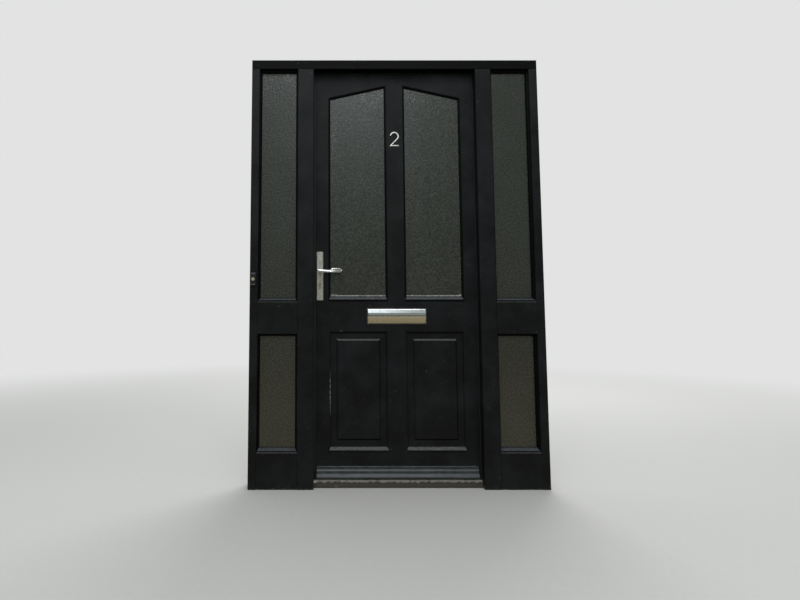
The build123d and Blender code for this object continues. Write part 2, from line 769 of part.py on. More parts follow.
def mid_rail(cuts):
    low = MID_RAIL_LEVEL - LEAF_LIP_HEIGHT
    high = MID_RAIL_TOP + LEAF_LIP_HEIGHT
    rail = block((-STILE_LIP, STILE_LIP), (LEAF_FRONT, FRAME_DEPTH), (low, high))
    for tenon in stile_tenons()[1:3]:
        rail = rail + tenon + other_side(tenon)
    for tenon in muntin_tenons()[1:3]:
        rail -= tenon
    rail = carve(rail, cuts) - letter_hole()
    for x in (-LETTER_BOLT_SPACING / 2, LETTER_BOLT_SPACING / 2):
        rail -= rod_y(x, LETTER_LEVEL, LETTER_BOLT_RADIUS, LEAF_FRONT, FRAME_DEPTH)
    return rail


def bottom_rail(cuts):
    high = BOTTOM_RAIL_TOP + LEAF_LIP_HEIGHT
    rail = block((-STILE_LIP, STILE_LIP), (LEAF_FRONT, FRAME_DEPTH), (LEAF_LEVEL, high))
    tenon = stile_tenons()[0]
    rail = rail + tenon + other_side(tenon) - muntin_tenons()[0]
    return carve(rail, cuts)


def upper_muntin(cuts):
    low = MID_RAIL_TOP + LEAF_LIP_HEIGHT
    edge = MUNTIN_LIP
    outline = [
        (-edge, low), (-edge, lip_rake(edge)), (0, lip_rake(0)), (edge, lip_rake(edge)), (edge, low)
    ]
    muntin = bar_y(outline, LEAF_FRONT, FRAME_DEPTH)
    tenons = muntin_tenons()
    return carve(muntin, cuts) + tenons[2] + tenons[3]


def lower_muntin(cuts):
    low = BOTTOM_RAIL_TOP + LEAF_LIP_HEIGHT
    high = MID_RAIL_LEVEL - LEAF_LIP_HEIGHT
    muntin = block((-MUNTIN_LIP, MUNTIN_LIP), (LEAF_FRONT, FRAME_DEPTH), (low, high))
    tenons = muntin_tenons()
    return carve(muntin, cuts) + tenons[0] + tenons[1]


def raised_field(outline, base, way):
    """A bevel that rises from a flat margin to the flat field. The rise goes towards the
    street with way -1, or towards the room with way 1."""
    foot = inset_corners(outline, [PANEL_MARGIN - PANEL_BEVEL] * 4)
    field = inset_corners(outline, [PANEL_MARGIN] * 4)
    crest = base + way * PANEL_RISE
    low = make_face(Polyline(*[(x, base, z) for x, z in foot], close=True))
    high = make_face(Polyline(*[(x, crest, z) for x, z in field], close=True))
    return loft([low, high])


def panel():
    """The left panel, raised and fielded on both sides: its edge is held in the rebate
    behind the moulding."""
    light = panel_light(False)
    body = bar_y(inset_corners(light, [GLAZING_GAP] * 4), LEAF_GLASS_FRONT, LEAF_GLASS_BACK)
    side = LEAF_BEAD_WIDTH + PANEL_REVEAL
    foot = LEAF_SILL_BEAD_HEIGHT + PANEL_REVEAL
    raised = raised_field(inset_corners(light, [side, side, side, foot]), LEAF_GLASS_FRONT, -1)
    room = inset_corners(panel_light(True), [PANEL_REVEAL] * 4)
    return body + raised + raised_field(room, LEAF_GLASS_BACK, 1)


def leaf_glass():
    return glass_unit(raked_light(False), LEAF_GLASS_FRONT)


def light_beads():
    return bead_ring(
        raked_light(False),
        LEAF_BEAD_WIDTH,
        LEAF_SILL_BEAD_HEIGHT,
        LEAF_BEAD_DEPTH,
        LEAF_FRONT,
        SILL_NOSE,
    )


def panel_moulding():
    return bead_ring(
        panel_light(False),
        LEAF_BEAD_WIDTH,
        LEAF_SILL_BEAD_HEIGHT,
        LEAF_BEAD_DEPTH,
        LEAF_FRONT,
        SILL_NOSE,
    )


def weather_bar():
    """A moulded bar that throws rain clear of the threshold: a fillet, a small roll, a
    hollow, a larger roll and a drip groove underneath."""
    half = DOORWAY_HALF - WEATHER_BAR_END_GAP
    foot = LEAF_LEVEL + WEATHER_BAR_RISE
    height = WEATHER_BAR_HEIGHT
    reach = WEATHER_BAR_REACH

    def at(out, up):
        return (-half, LEAF_FRONT - out * reach, foot + up * height)

    outline = Polyline(at(0, 0), at(0, 1), at(0.16, 1), at(0.16, 0.76))
    outline += ThreePointArc(at(0.16, 0.76), at(0.38, 0.69), at(0.46, 0.53))
    outline += ThreePointArc(at(0.46, 0.53), at(0.5, 0.36), at(0.66, 0.26))
    outline += ThreePointArc(at(0.66, 0.26), at(0.92, 0.2), at(1.0, 0.06))
    outline += Polyline(
        at(1.0, 0.06), at(0.96, 0), at(0.82, 0), at(0.78, 0.08), at(0.66, 0.08), at(0.62, 0), at(0, 0)
    )
    return extrude(make_face(outline), amount=2 * half, dir=(1, 0, 0))


# Hinges


def knuckle_spans(level):
    """Heights of the knuckles of one hinge, from the lowest up."""
    pitch = HINGE_HEIGHT / HINGE_KNUCKLES
    low = level - HINGE_HEIGHT / 2
    gap = HINGE_KNUCKLE_GAP / 2
    return [(low + i * pitch + gap, low + (i + 1) * pitch - gap) for i in range(HINGE_KNUCKLES)]


def flap_recess(low_x, level):
    """The room cut in the timber for the flat of a flap."""
    return block(
        (low_x, low_x + HINGE_FLAP_THICKNESS),
        (FRAME_DEPTH - HINGE_FLAP_WIDTH, FRAME_DEPTH),
        (level - HINGE_HEIGHT / 2, level + HINGE_HEIGHT / 2),
    )


def flap_plate(low_x, level):
    """The flat of a flap, notched back from the other flap's knuckles."""
    notch_y = (FRAME_DEPTH - HINGE_NOTCH, FRAME_DEPTH)
    notch_x = (low_x, low_x + HINGE_FLAP_THICKNESS)
    low = level - HINGE_HEIGHT / 2
    return flap_recess(low_x, level) - block(notch_x, notch_y, (low, low + HINGE_HEIGHT))


def leaf_flap_plate(level):
    return flap_plate(LEAF_HALF - HINGE_FLAP_THICKNESS, level)


def frame_flap_plate(level):
    return flap_plate(REBATE_HALF, level)


def hinge_flap(plate, low_x, spans):
    """A flap with its share of the knuckles."""
    flap = plate
    for low, high in spans:
        flap += rod_z(HINGE_X, HINGE_Y, HINGE_KNUCKLE_RADIUS, low, high)
        neck_x = (low_x, low_x + HINGE_FLAP_THICKNESS)
        flap += block(neck_x, (FRAME_DEPTH - HINGE_NOTCH, HINGE_Y), (low, high))
    low, high = spans[0][0], spans[-1][1]
    return flap - rod_z(HINGE_X, HINGE_Y, HINGE_PIN_RADIUS + HINGE_PIN_CLEARANCE, low, high)


def frame_flap(level):
    return hinge_flap(frame_flap_plate(level), REBATE_HALF, knuckle_spans(level)[0::2])


def leaf_flap(level):
    low_x = LEAF_HALF - HINGE_FLAP_THICKNESS
    return hinge_flap(leaf_flap_plate(level), low_x, knuckle_spans(level)[1::2])


def hinge_pin(level):
    low = level - HINGE_HEIGHT / 2
    high = level + HINGE_HEIGHT / 2
    pin = rod_z(HINGE_X, HINGE_Y, HINGE_PIN_RADIUS, low, high)
    head = HINGE_PIN_HEAD_HEIGHT
    pin += rod_z(HINGE_X, HINGE_Y, HINGE_PIN_HEAD_RADIUS, high, high + head)
    return pin + rod_z(HINGE_X, HINGE_Y, HINGE_PIN_HEAD_RADIUS, low - head, low)


def at_hinges(maker):
    return Compound([maker(level).solid() for level in HINGE_LEVELS])


# Lock


def lock_case_body():
    half = LOCK_CASE_THICKNESS / 2
    return block(
        (FOREND_BACK, LOCK_X + LOCK_CASE_TAIL),
        (LEAF_MIDDLE - half, LEAF_MIDDLE + half),
        (LEVER_LEVEL - LOCK_CASE_BELOW, LEVER_LEVEL + LOCK_CASE_ABOVE),
    )


def forend_body():
    half = FOREND_WIDTH / 2
    return block(
        (-LEAF_HALF, FOREND_BACK),
        (LEAF_MIDDLE - half, LEAF_MIDDLE + half),
        (
            LEVER_LEVEL - LOCK_CASE_BELOW - FOREND_OVERHANG,
            LEVER_LEVEL + LOCK_CASE_ABOVE + FOREND_OVERHANG,
        ),
    )


def bolt_way(thickness, height, level, low_x, high_x, ease):
    """The room that a sliding bolt runs in."""
    half_y = thickness / 2 + ease
    half_z = height / 2 + ease
    return block(
        (low_x, high_x), (LEAF_MIDDLE - half_y, LEAF_MIDDLE + half_y), (level - half_z, level + half_z)
    )


def bolt_ways():
    """The ways of the latch and the deadbolt through the forend and into the case."""
    latch_back = FOREND_BACK + LATCH_BODY + LATCH_THROW - FOREND_THICKNESS + SLIDE_CLEARANCE
    bolt_back = DEADBOLT_BODY - LEAF_HALF + SLIDE_CLEARANCE
    return [
        bolt_way(
            LATCH_THICKNESS, LATCH_HEIGHT, LEVER_LEVEL, -LEAF_HALF, latch_back, SLIDE_CLEARANCE
        ),
        bolt_way(
            DEADBOLT_THICKNESS,
            DEADBOLT_HEIGHT,
            DEADBOLT_LEVEL,
            -LEAF_HALF,
            bolt_back,
            SLIDE_CLEARANCE,
        ),
    ]


def euro_profile(low, high, ease):
    """A euro profile cylinder's outline as a solid along Y: a round with a web below."""
    level = CYLINDER_LEVEL
    barrel = rod_y(LOCK_X, level, CYLINDER_RADIUS + ease, low, high)
    foot = level + CYLINDER_RADIUS - CYLINDER_BODY_HEIGHT
    half = CYLINDER_WEB / 2
    web = block((LOCK_X - half - ease, LOCK_X + half + ease), (low, high), (foot + half, level))
    end = rod_y(LOCK_X, foot + half, half + ease, low, high)
    return barrel + web + end


def lock_case():
    half = LOCK_CASE_THICKNESS / 2
    low, high = LEAF_MIDDLE - half, LEAF_MIDDLE + half
    case = lock_case_body()
    for way in bolt_ways():
        case -= way
    case -= rod_y(LOCK_X, LEVER_LEVEL, FOLLOWER_RADIUS + SHAFT_CLEARANCE, low, high)
    case -= euro_profile(low, high, 0)
    sweep_radius = CAM_REACH + CAM_CLEARANCE
    cam_half = CAM_THICKNESS / 2 + CAM_CLEARANCE
    case -= rod_y(
        LOCK_X, CYLINDER_LEVEL, sweep_radius, LEAF_MIDDLE - cam_half, LEAF_MIDDLE + cam_half
    )
    return case


def lock_forend():
    plate = forend_body()
    for way in bolt_ways():
        plate -= way
    return plate


def latch_bolt():
    """The sprung latch, bevelled on the side that meets the keep first as the leaf shuts."""
    tip = -LEAF_HALF - LATCH_THROW
    back = LATCH_BODY - LEAF_HALF
    low_y = LEAF_MIDDLE - LATCH_THICKNESS / 2
    high_y = LEAF_MIDDLE + LATCH_THICKNESS / 2
    outline = [
        (back, low_y),
        (-LEAF_HALF, low_y),
        (tip, high_y - LATCH_NIB),
        (tip, high_y),
        (back, high_y),
    ]
    half = LATCH_HEIGHT / 2
    return bar_z(outline, LEVER_LEVEL - half, LEVER_LEVEL + half)


def deadbolt():
    half_y = DEADBOLT_THICKNESS / 2
    half_z = DEADBOLT_HEIGHT / 2
    bolt = block(
        (-LEAF_HALF, DEADBOLT_BODY - LEAF_HALF),
        (LEAF_MIDDLE - half_y, LEAF_MIDDLE + half_y),
        (DEADBOLT_LEVEL - half_z, DEADBOLT_LEVEL + half_z),
    )
    return chamfer(bolt.faces().sort_by(Axis.X)[0].edges(), DEADBOLT_CHAMFER)


def keep_ways(ease, depth):
    """The pockets in the left mullion that take the latch and the deadbolt."""
    high = -REBATE_HALF
    low = high - depth
    return [
        bolt_way(LATCH_THICKNESS, LATCH_HEIGHT, LEVER_LEVEL, low, high, ease),
        bolt_way(DEADBOLT_THICKNESS, DEADBOLT_HEIGHT, DEADBOLT_LEVEL, low, high, ease),
    ]


def keep_body():
    half = KEEP_WIDTH / 2
    return block(
        (-REBATE_HALF - KEEP_THICKNESS, -REBATE_HALF),
        (LEAF_MIDDLE - half, LEAF_MIDDLE + half),
        (DEADBOLT_LEVEL - DEADBOLT_HEIGHT - KEEP_OVERHANG, LEVER_LEVEL + LATCH_HEIGHT + KEEP_OVERHANG),
    )


def lock_keep():
    keep = keep_body()
    for way in keep_ways(KEEP_POCKET_EASE, KEEP_THICKNESS):
        keep -= way
    return keep


def mullion_left():
    post = mullion() - keep_body()
    for way in keep_ways(KEEP_POCKET_EASE, KEEP_POCKET_DEPTH):
        post -= way
    return post


def mullion_right():
    post = other_side(mullion())
    for level in HINGE_LEVELS:
        post -= flap_recess(REBATE_HALF, level)
    return post


def cylinder_ends():
    """Y of the outer and inner ends of the cylinder's body."""
    outer = LEAF_FRONT - PLATE_THICKNESS - CYLINDER_PROUD
    inner = FRAME_DEPTH + PLATE_THICKNESS + CYLINDER_PROUD
    return outer, inner


def cylinder_body():
    low, high = cylinder_ends()
    body = euro_profile(low, high, 0)
    body -= rod_y(LOCK_X, CYLINDER_LEVEL, PLUG_RADIUS + SHAFT_CLEARANCE, low, high)
    half = CAM_THICKNESS / 2 + CAM_CLEARANCE
    reach = CYLINDER_RADIUS + CAM_REACH
    gap = block(
        (LOCK_X - reach, LOCK_X + reach),
        (LEAF_MIDDLE - half, LEAF_MIDDLE + half),
        (CYLINDER_LEVEL - CAM_REACH - CAM_CLEARANCE, CYLINDER_LEVEL + reach),
    )
    return body - gap


def cylinder_plug():
    """The turning plug, with its keyway at both ends and the cam in the middle."""
    low, high = cylinder_ends()
    low -= PLUG_PROUD
    high += PLUG_PROUD
    plug = rod_y(LOCK_X, CYLINDER_LEVEL, PLUG_RADIUS, low, high)
    half = CAM_THICKNESS / 2
    cam_y = (LEAF_MIDDLE - half, LEAF_MIDDLE + half)
    plug += block(
        (LOCK_X - CAM_WIDTH / 2, LOCK_X + CAM_WIDTH / 2),
        cam_y,
        (CYLINDER_LEVEL - CAM_REACH + CAM_CLEARANCE, CYLINDER_LEVEL),
    )
    slot_x = (LOCK_X - KEYWAY_WIDTH / 2, LOCK_X + KEYWAY_WIDTH / 2)
    slot_z = (CYLINDER_LEVEL - KEYWAY_HEIGHT / 2, CYLINDER_LEVEL + KEYWAY_HEIGHT / 2)
    for slot_y in ((low, low + KEYWAY_DEPTH), (high - KEYWAY_DEPTH, high)):
        plug -= block(slot_x, slot_y, slot_z)
    return plug


# Handles


def plate_bolt_places():
    half = PLATE_BOLT_SPACING / 2
    return [(LOCK_X, PLATE_LEVEL - half), (LOCK_X, PLATE_LEVEL + half)]


def outer_plate():
    """The outer back plate: rounded corners, a bevelled rim, and holes for what it holds."""
    back = LEAF_FRONT
    front = LEAF_FRONT - PLATE_THICKNESS
    outline = RectangleRounded(PLATE_WIDTH, PLATE_HEIGHT, PLATE_CORNER)
    plane = Plane(origin=(LOCK_X, back, PLATE_LEVEL), x_dir=(1, 0, 0), z_dir=(0, -1, 0))
    plate = extrude(plane * outline, amount=PLATE_THICKNESS)
    plate = chamfer(plate.faces().sort_by(Axis.Y)[0].edges(), PLATE_BEVEL)
    neck = LEVER_NECK_RADIUS + SHAFT_CLEARANCE
    plate -= rod_y(LOCK_X, LEVER_LEVEL, neck, front, back)
    plate -= euro_profile(front, back, 0)
    for x, z in plate_bolt_places():
        plate -= rod_y(x, z, PLATE_BOLT_RADIUS, front + PLATE_BEVEL, back)
    return plate


def to_room(shape):
    """The same piece on the room side of the leaf."""
    return mirror(shape, Plane(origin=(0, LEAF_MIDDLE, 0), z_dir=(0, 1, 0)))


def inner_plate():
    plate = to_room(outer_plate())
    for x, z in plate_bolt_places():
        plate -= rod_y(x, z, PLATE_BOLT_RADIUS, FRAME_DEPTH, FRAME_DEPTH + PLATE_THICKNESS)
    return plate


def plate_bolt(x, z):
    """A bolt through the leaf from the inner plate into the back of the outer one."""
    low = LEAF_FRONT - PLATE_THICKNESS + PLATE_BEVEL
    high = FRAME_DEPTH + PLATE_THICKNESS
    head = rod_y(x, z, PLATE_BOLT_HEAD_RADIUS, high, high + PLATE_BOLT_HEAD_HEIGHT)
    return rod_y(x, z, PLATE_BOLT_RADIUS, low, high) + head


def plate_bolts():
    return Compound([plate_bolt(x, z).solid() for x, z in plate_bolt_places()])


def lever_plan(front):
    """The lever's bar seen from above: it bows out and returns towards its tip."""
    root = LOCK_X - LEVER_NECK_RADIUS
    tip = LOCK_X + LEVER_LENGTH
    middle = (root + tip) / 2
    near = front + LEVER_BAR_THICKNESS
    outer = ThreePointArc((root, front, 0), (middle, front - LEVER_BOW, 0), (tip, near, 0))
    back = near + LEVER_TIP_THICKNESS
    end = Line((tip, near, 0), (tip, back, 0))
    inner = ThreePointArc((tip, back, 0), (middle, near - LEVER_BOW, 0), (root, near, 0))
    return make_face(outer + end + inner + Line((root, near, 0), (root, front, 0)))


def lever_elevation():
    """The lever's bar seen from the street, from its low edge up: it narrows to a waist
    beside the neck, and its deeper grip ends in a slant."""
    root = LOCK_X - LEVER_NECK_RADIUS
    waist = LOCK_X + LEVER_WAIST_PLACE
    tip = LOCK_X + LEVER_LENGTH
    slant = tip - LEVER_SLANT
    fall = LEVER_ROOT_HEIGHT - LEVER_WAIST_HEIGHT
    sweep = ThreePointArc(
        (root, 0, LEVER_ROOT_HEIGHT),
        ((root + waist) / 2, 0, LEVER_WAIST_HEIGHT + LEVER_SWEEP_SHARE * fall),
        (waist, 0, LEVER_WAIST_HEIGHT),
    )
    rest = Polyline(
        (waist, 0, LEVER_WAIST_HEIGHT),
        (LOCK_X + LEVER_GRIP_PLACE, 0, LEVER_GRIP_HEIGHT),
        (slant, 0, LEVER_GRIP_HEIGHT),
        (tip, 0, LEVER_TIP_RISE),
        (slant, 0, 0),
        (root, 0, 0),
        (root, 0, LEVER_ROOT_HEIGHT),
    )
    outline = make_face(sweep + rest)
    return fillet(outline.vertices(), LEVER_ROUND)


def lever_outer():
    """Neck, collar and bar of the outer lever, cast as one."""
    plate_front = LEAF_FRONT - PLATE_THICKNESS
    front = plate_front - LEVER_STANDOFF
    bar = extrude(lever_plan(front), amount=LEVER_GRIP_HEIGHT, dir=(0, 0, 1))
    bar &= extrude(lever_elevation(), amount=FRAME_DEPTH, both=True)
    bar = Pos(0, 0, LEVER_LEVEL - LEVER_DROP) * bar
    neck_end = front + LEVER_NECK_OVERLAP
    neck = rod_y(LOCK_X, LEVER_LEVEL, LEVER_NECK_RADIUS, neck_end, LEAF_FRONT)
    collar = rod_y(
        LOCK_X,
        LEVER_LEVEL,
        LEVER_COLLAR_RADIUS,
        plate_front - SLIDE_CLEARANCE - LEVER_COLLAR_HEIGHT,
        plate_front - SLIDE_CLEARANCE,
    )
    return bar + neck + collar - spindle_bar()


def spindle_bar():
    half = SPINDLE_SIZE / 2
    reach = PLATE_THICKNESS + SPINDLE_GRIP
    return block(
        (LOCK_X - half, LOCK_X + half),
        (LEAF_FRONT - reach, FRAME_DEPTH + reach),
        (LEVER_LEVEL - half, LEVER_LEVEL + half),
    )


def spindle():
    """The square spindle and the round follower that it turns inside the lock case."""
    half = LOCK_CASE_THICKNESS / 2
    follower = rod_y(LOCK_X, LEVER_LEVEL, FOLLOWER_RADIUS, LEAF_MIDDLE - half, LEAF_MIDDLE + half)
    return spindle_bar() + follower


def lever_inner():
    return to_room(lever_outer())


# Letter plate


def letter_hole():
    wall = LETTER_SLEEVE_WALL
    half_x = LETTER_SLOT_WIDTH / 2 + wall
    half_z = LETTER_SLOT_HEIGHT / 2 + wall
    return block(
        (-half_x, half_x), (LEAF_FRONT, FRAME_DEPTH), (LETTER_LEVEL - half_z, LETTER_LEVEL + half_z)
    )


def letter_slot(low, high):
    half_x = LETTER_SLOT_WIDTH / 2
    half_z = LETTER_SLOT_HEIGHT / 2
    return block((-half_x, half_x), (low, high), (LETTER_LEVEL - half_z, LETTER_LEVEL + half_z))


def letter_sleeve():
    """The lining of the slot through the leaf."""
    return letter_hole() - letter_slot(LEAF_FRONT, FRAME_DEPTH)


def flap_axis(face):
    """Y and Z of the outer flap's pivot, from the Y of the face that the flap lies on."""
    y = face - FLAP_CLEARANCE - FLAP_BARREL_RADIUS
    z = LETTER_LEVEL + LETTER_HEIGHT / 2 - FLAP_BOTTOM_BORDER - FLAP_BARREL_RADIUS
    return y, z


def flap_half_width():
    return LETTER_WIDTH / 2 - LETTER_BORDER


def letter_surround(thickness, sleeve_end):
    """A frame round the slot, with two lugs in front that hold the flap's pivot."""
    face = sleeve_end - thickness
    plane = Plane(origin=(0, sleeve_end, LETTER_LEVEL), x_dir=(1, 0, 0), z_dir=(0, -1, 0))
    outline = RectangleRounded(LETTER_WIDTH, LETTER_HEIGHT, LETTER_CORNER)
    surround = extrude(plane * outline, amount=thickness)
    rim = surround.faces().sort_by(Axis.Y)[0].edges()
    surround = chamfer(rim, LETTER_CHAMFER)
    surround -= letter_slot(face, sleeve_end)
    y, z = flap_axis(face)
    lug_reach = FLAP_BARREL_RADIUS
    for side in (-1, 1):
        inner = side * (flap_half_width() + FLAP_CLEARANCE)
        outer = inner + side * LUG_WIDTH
        low, high = sorted((inner, outer))
        lug = block((low, high), (y - lug_reach, face), (z - lug_reach, z + lug_reach))
        surround += lug - rod_x(y, z, FLAP_PIN_RADIUS + SHAFT_CLEARANCE, low, high)
    for x in (-LETTER_BOLT_SPACING / 2, LETTER_BOLT_SPACING / 2):
        surround -= rod_y(x, LETTER_LEVEL, LETTER_BOLT_RADIUS, face + LETTER_SKIN, sleeve_end)
    return surround


def letter_flap_shape(face, bulge):
    """A flap pressed to a shallow curve, rolled round its pivot rod along the top."""
    y, z = flap_axis(face)
    bottom = LETTER_LEVEL - LETTER_HEIGHT / 2 + FLAP_BOTTOM_BORDER
    back = face - FLAP_CLEARANCE
    middle_z = (z + bottom) / 2
    half = flap_half_width()
    barrel = FLAP_BARREL_RADIUS
    outer = ThreePointArc(
        (0, y - barrel, z), (0, back - bulge - FLAP_THICKNESS, middle_z), (0, back - FLAP_THICKNESS, bottom)
    )
    edge = Line((0, back - FLAP_THICKNESS, bottom), (0, back, bottom))
    inner = ThreePointArc(
        (0, back, bottom), (0, back - bulge, middle_z), (0, y - barrel + FLAP_THICKNESS, z)
    )
    top = Line((0, y - barrel + FLAP_THICKNESS, z), (0, y - barrel, z))
    sheet = extrude(make_face(outer + edge + inner + top), amount=2 * half, dir=(1, 0, 0))
    flap = Pos(-half, 0, 0) * sheet + rod_x(y, z, barrel, -half, half)
    pin_reach = half + FLAP_CLEARANCE + LUG_WIDTH
    return flap + rod_x(y, z, FLAP_PIN_RADIUS, -pin_reach, pin_reach)


def letter_plate():
    return letter_surround(LETTER_THICKNESS, LEAF_FRONT)


def letter_flap():
    return letter_flap_shape(LEAF_FRONT - LETTER_THICKNESS, FLAP_BULGE)


def inner_surround():
    surround = to_room(letter_surround(INNER_LETTER_THICKNESS, LEAF_FRONT))
    for x in (-LETTER_BOLT_SPACING / 2, LETTER_BOLT_SPACING / 2):
        surround -= rod_y(
            x, LETTER_LEVEL, LETTER_BOLT_RADIUS, FRAME_DEPTH, FRAME_DEPTH + INNER_LETTER_THICKNESS
        )
        surround -= rod_y(
            x,
            LETTER_LEVEL,
            LETTER_BOLT_HEAD_RADIUS,
            FRAME_DEPTH + INNER_LETTER_THICKNESS - LETTER_BOLT_HEAD_HEIGHT,
            FRAME_DEPTH + INNER_LETTER_THICKNESS,
        )
    return surround


def inner_flap():
    return to_room(letter_flap_shape(LEAF_FRONT - INNER_LETTER_THICKNESS, INNER_FLAP_BULGE))


def letter_bolt(x):
    low = LEAF_FRONT - LETTER_THICKNESS + LETTER_SKIN
    high = FRAME_DEPTH + INNER_LETTER_THICKNESS
    head = rod_y(x, LETTER_LEVEL, LETTER_BOLT_HEAD_RADIUS, high - LETTER_BOLT_HEAD_HEIGHT, high)
    return rod_y(x, LETTER_LEVEL, LETTER_BOLT_RADIUS, low, high) + head


def letter_bolts():
    places = (-LETTER_BOLT_SPACING / 2, LETTER_BOLT_SPACING / 2)
    return Compound([letter_bolt(x).solid() for x in places])


# Small pieces on the frame


def guard_strip():
    """A flat metal strip on the doorway side of the left mullion, level with the handle."""
    low = PLATE_LEVEL - GUARD_HEIGHT / 2
    strip = block(
        (-DOORWAY_HALF, -DOORWAY_HALF + GUARD_THICKNESS),
        (GUARD_SETBACK, GUARD_SETBACK + GUARD_WIDTH),
        (low, low + GUARD_HEIGHT),
    )
    outer = strip.faces().sort_by(Axis.X)[-1]
    return chamfer(outer.edges(), GUARD_CHAMFER)


def bell_housing():
    plane = Plane(origin=(BELL_X, 0, BELL_LEVEL), x_dir=(1, 0, 0), z_dir=(0, -1, 0))
    outline = RectangleRounded(BELL_WIDTH, BELL_HEIGHT, BELL_CORNER)
    housing = extrude(plane * outline, amount=BELL_THICKNESS)
    housing = fillet(housing.faces().sort_by(Axis.Y)[0].edges(), BELL_EDGE)
    bore = BELL_BUTTON_RADIUS + BELL_BUTTON_CLEARANCE
    wide = bore + BELL_FLANGE
    housing -= rod_y(BELL_X, BELL_LEVEL, bore, -BELL_THICKNESS, 0)
    shoulder = BELL_BUTTON_LENGTH - BELL_BUTTON_PROUD - BELL_FLANGE_THICKNESS
    housing -= rod_y(
        BELL_X, BELL_LEVEL, wide, -BELL_THICKNESS + shoulder - BELL_BUTTON_CLEARANCE, -BELL_THICKNESS
        + shoulder + BELL_FLANGE_THICKNESS + BELL_TRAVEL + BELL_BUTTON_CLEARANCE
    )
    floor = BELL_THICKNESS - shoulder - BELL_FLANGE_THICKNESS - BELL_TRAVEL - BELL_BUTTON_CLEARANCE
    return housing + rod_y(BELL_X, BELL_LEVEL, bore, -floor, 0)


def bell_button():
    """A domed button with a flange behind the housing's face that keeps it in."""
    front = -BELL_THICKNESS - BELL_BUTTON_PROUD
    back = front + BELL_BUTTON_LENGTH
    button = rod_y(BELL_X, BELL_LEVEL, BELL_BUTTON_RADIUS, front, back)
    button = fillet(button.faces().sort_by(Axis.Y)[0].edges(), BELL_BUTTON_ROUND)
    flange = rod_y(
        BELL_X, BELL_LEVEL, BELL_BUTTON_RADIUS + BELL_FLANGE, back - BELL_FLANGE_THICKNESS, back
    )
    return button + flange


def build_parts():
    cuts = leaf_cuts()
    jamb = frame_jamb()
    side_mid = side_rail(SIDE_RAIL_LEVEL, SIDE_RAIL_TOP, True)
    side_bottom = side_rail(0, SIDE_BOTTOM_RAIL_FACE, False)
    glass_high = side_glass(SIDE_RAIL_TOP, HEAD_LEVEL)
    glass_low = side_glass(SIDE_BOTTOM_RAIL_FACE, SIDE_RAIL_LEVEL)
    beads = side_beads()
    raised_panel = panel()
    moulding = panel_moulding()
    unit = leaf_glass()
    leaf_beads = light_beads()
    return {
        "frame_head": frame_head(),
        "frame_jamb_left": jamb,
        "frame_jamb_right": other_side(jamb),
        "mullion_left": mullion_left(),
        "mullion_right": mullion_right(),
        "side_mid_rail_left": side_mid,
        "side_mid_rail_right": other_side(side_mid),
        "side_bottom_rail_left": side_bottom,
        "side_bottom_rail_right": other_side(side_bottom),
        "side_glass_upper_left": glass_high,
        "side_glass_upper_right": other_side(glass_high),
        "side_glass_lower_left": glass_low,
        "side_glass_lower_right": other_side(glass_low),
        "side_beads_left": beads,
        "side_beads_right": other_side(beads),
        "threshold": threshold(),
        "threshold_seal": threshold_seal(),
        "frame_seal": frame_seal(),
        "guard_strip": guard_strip(),
        "lock_keep": lock_keep(),
        "bell_housing": bell_housing(),
        "bell_button": bell_button(),
        "hinge_frame_flaps": at_hinges(frame_flap),
        "hinge_leaf_flaps": at_hinges(leaf_flap),
        "hinge_pins": at_hinges(hinge_pin),
        "lock_stile": lock_stile(cuts),
        "hinge_stile": hinge_stile(cuts),
        "leaf_top_rail": set_over(top_rail(cuts)),
        "leaf_mid_rail": set_over(mid_rail(cuts)),
        "leaf_bottom_rail": set_over(bottom_rail(cuts)),
        "upper_muntin": set_over(upper_muntin(cuts)),
        "lower_muntin": set_over(lower_muntin(cuts)),
        "panel_left": set_over(raised_panel),
        "panel_right": set_over(other_side(raised_panel)),
        "panel_moulding_left": set_over(moulding),
        "panel_moulding_right": set_over(other_side(moulding)),
        "leaf_glass_left": set_over(unit),
        "leaf_glass_right": set_over(other_side(unit)),
        "light_beads_left": set_over(leaf_beads),
        "light_beads_right": set_over(other_side(leaf_beads)),
        "weather_bar": weather_bar(),
        "handle_plate_outer": outer_plate(),
        "handle_plate_inner": inner_plate(),
        "handle_bolts": plate_bolts(),
        "lever_outer": lever_outer(),
        "lever_inner": lever_inner(),
        "spindle": spindle(),
        "lock_case": lock_case(),
        "lock_forend": lock_forend(),
        "latch_bolt": latch_bolt(),
        "deadbolt": deadbolt(),
        "cylinder_body": cylinder_body(),
        "cylinder_plug": cylinder_plug(),
        "letter_plate": set_over(letter_plate()),
        "letter_flap": set_over(letter_flap()),
        "letter_sleeve": set_over(letter_sleeve()),
        "letter_inner_frame": set_over(inner_surround()),
        "letter_inner_flap": set_over(inner_flap()),
        "letter_bolts": set_over(letter_bolts()),
    }


os.makedirs("parts", exist_ok=True)
for name, shape in build_parts().items():
    export_step(Pos(0, -FRAME_DEPTH / 2, 0) * shape, f"parts/{name}.step")
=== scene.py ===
"""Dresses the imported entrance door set: paint, glass, ironmongery, small pieces and stage.

Lengths are in metres in the part's own frame: X along the wall, Y into the house, Z up.
"""

import math

import bmesh
import bpy
from mathutils import Matrix, Vector, noise


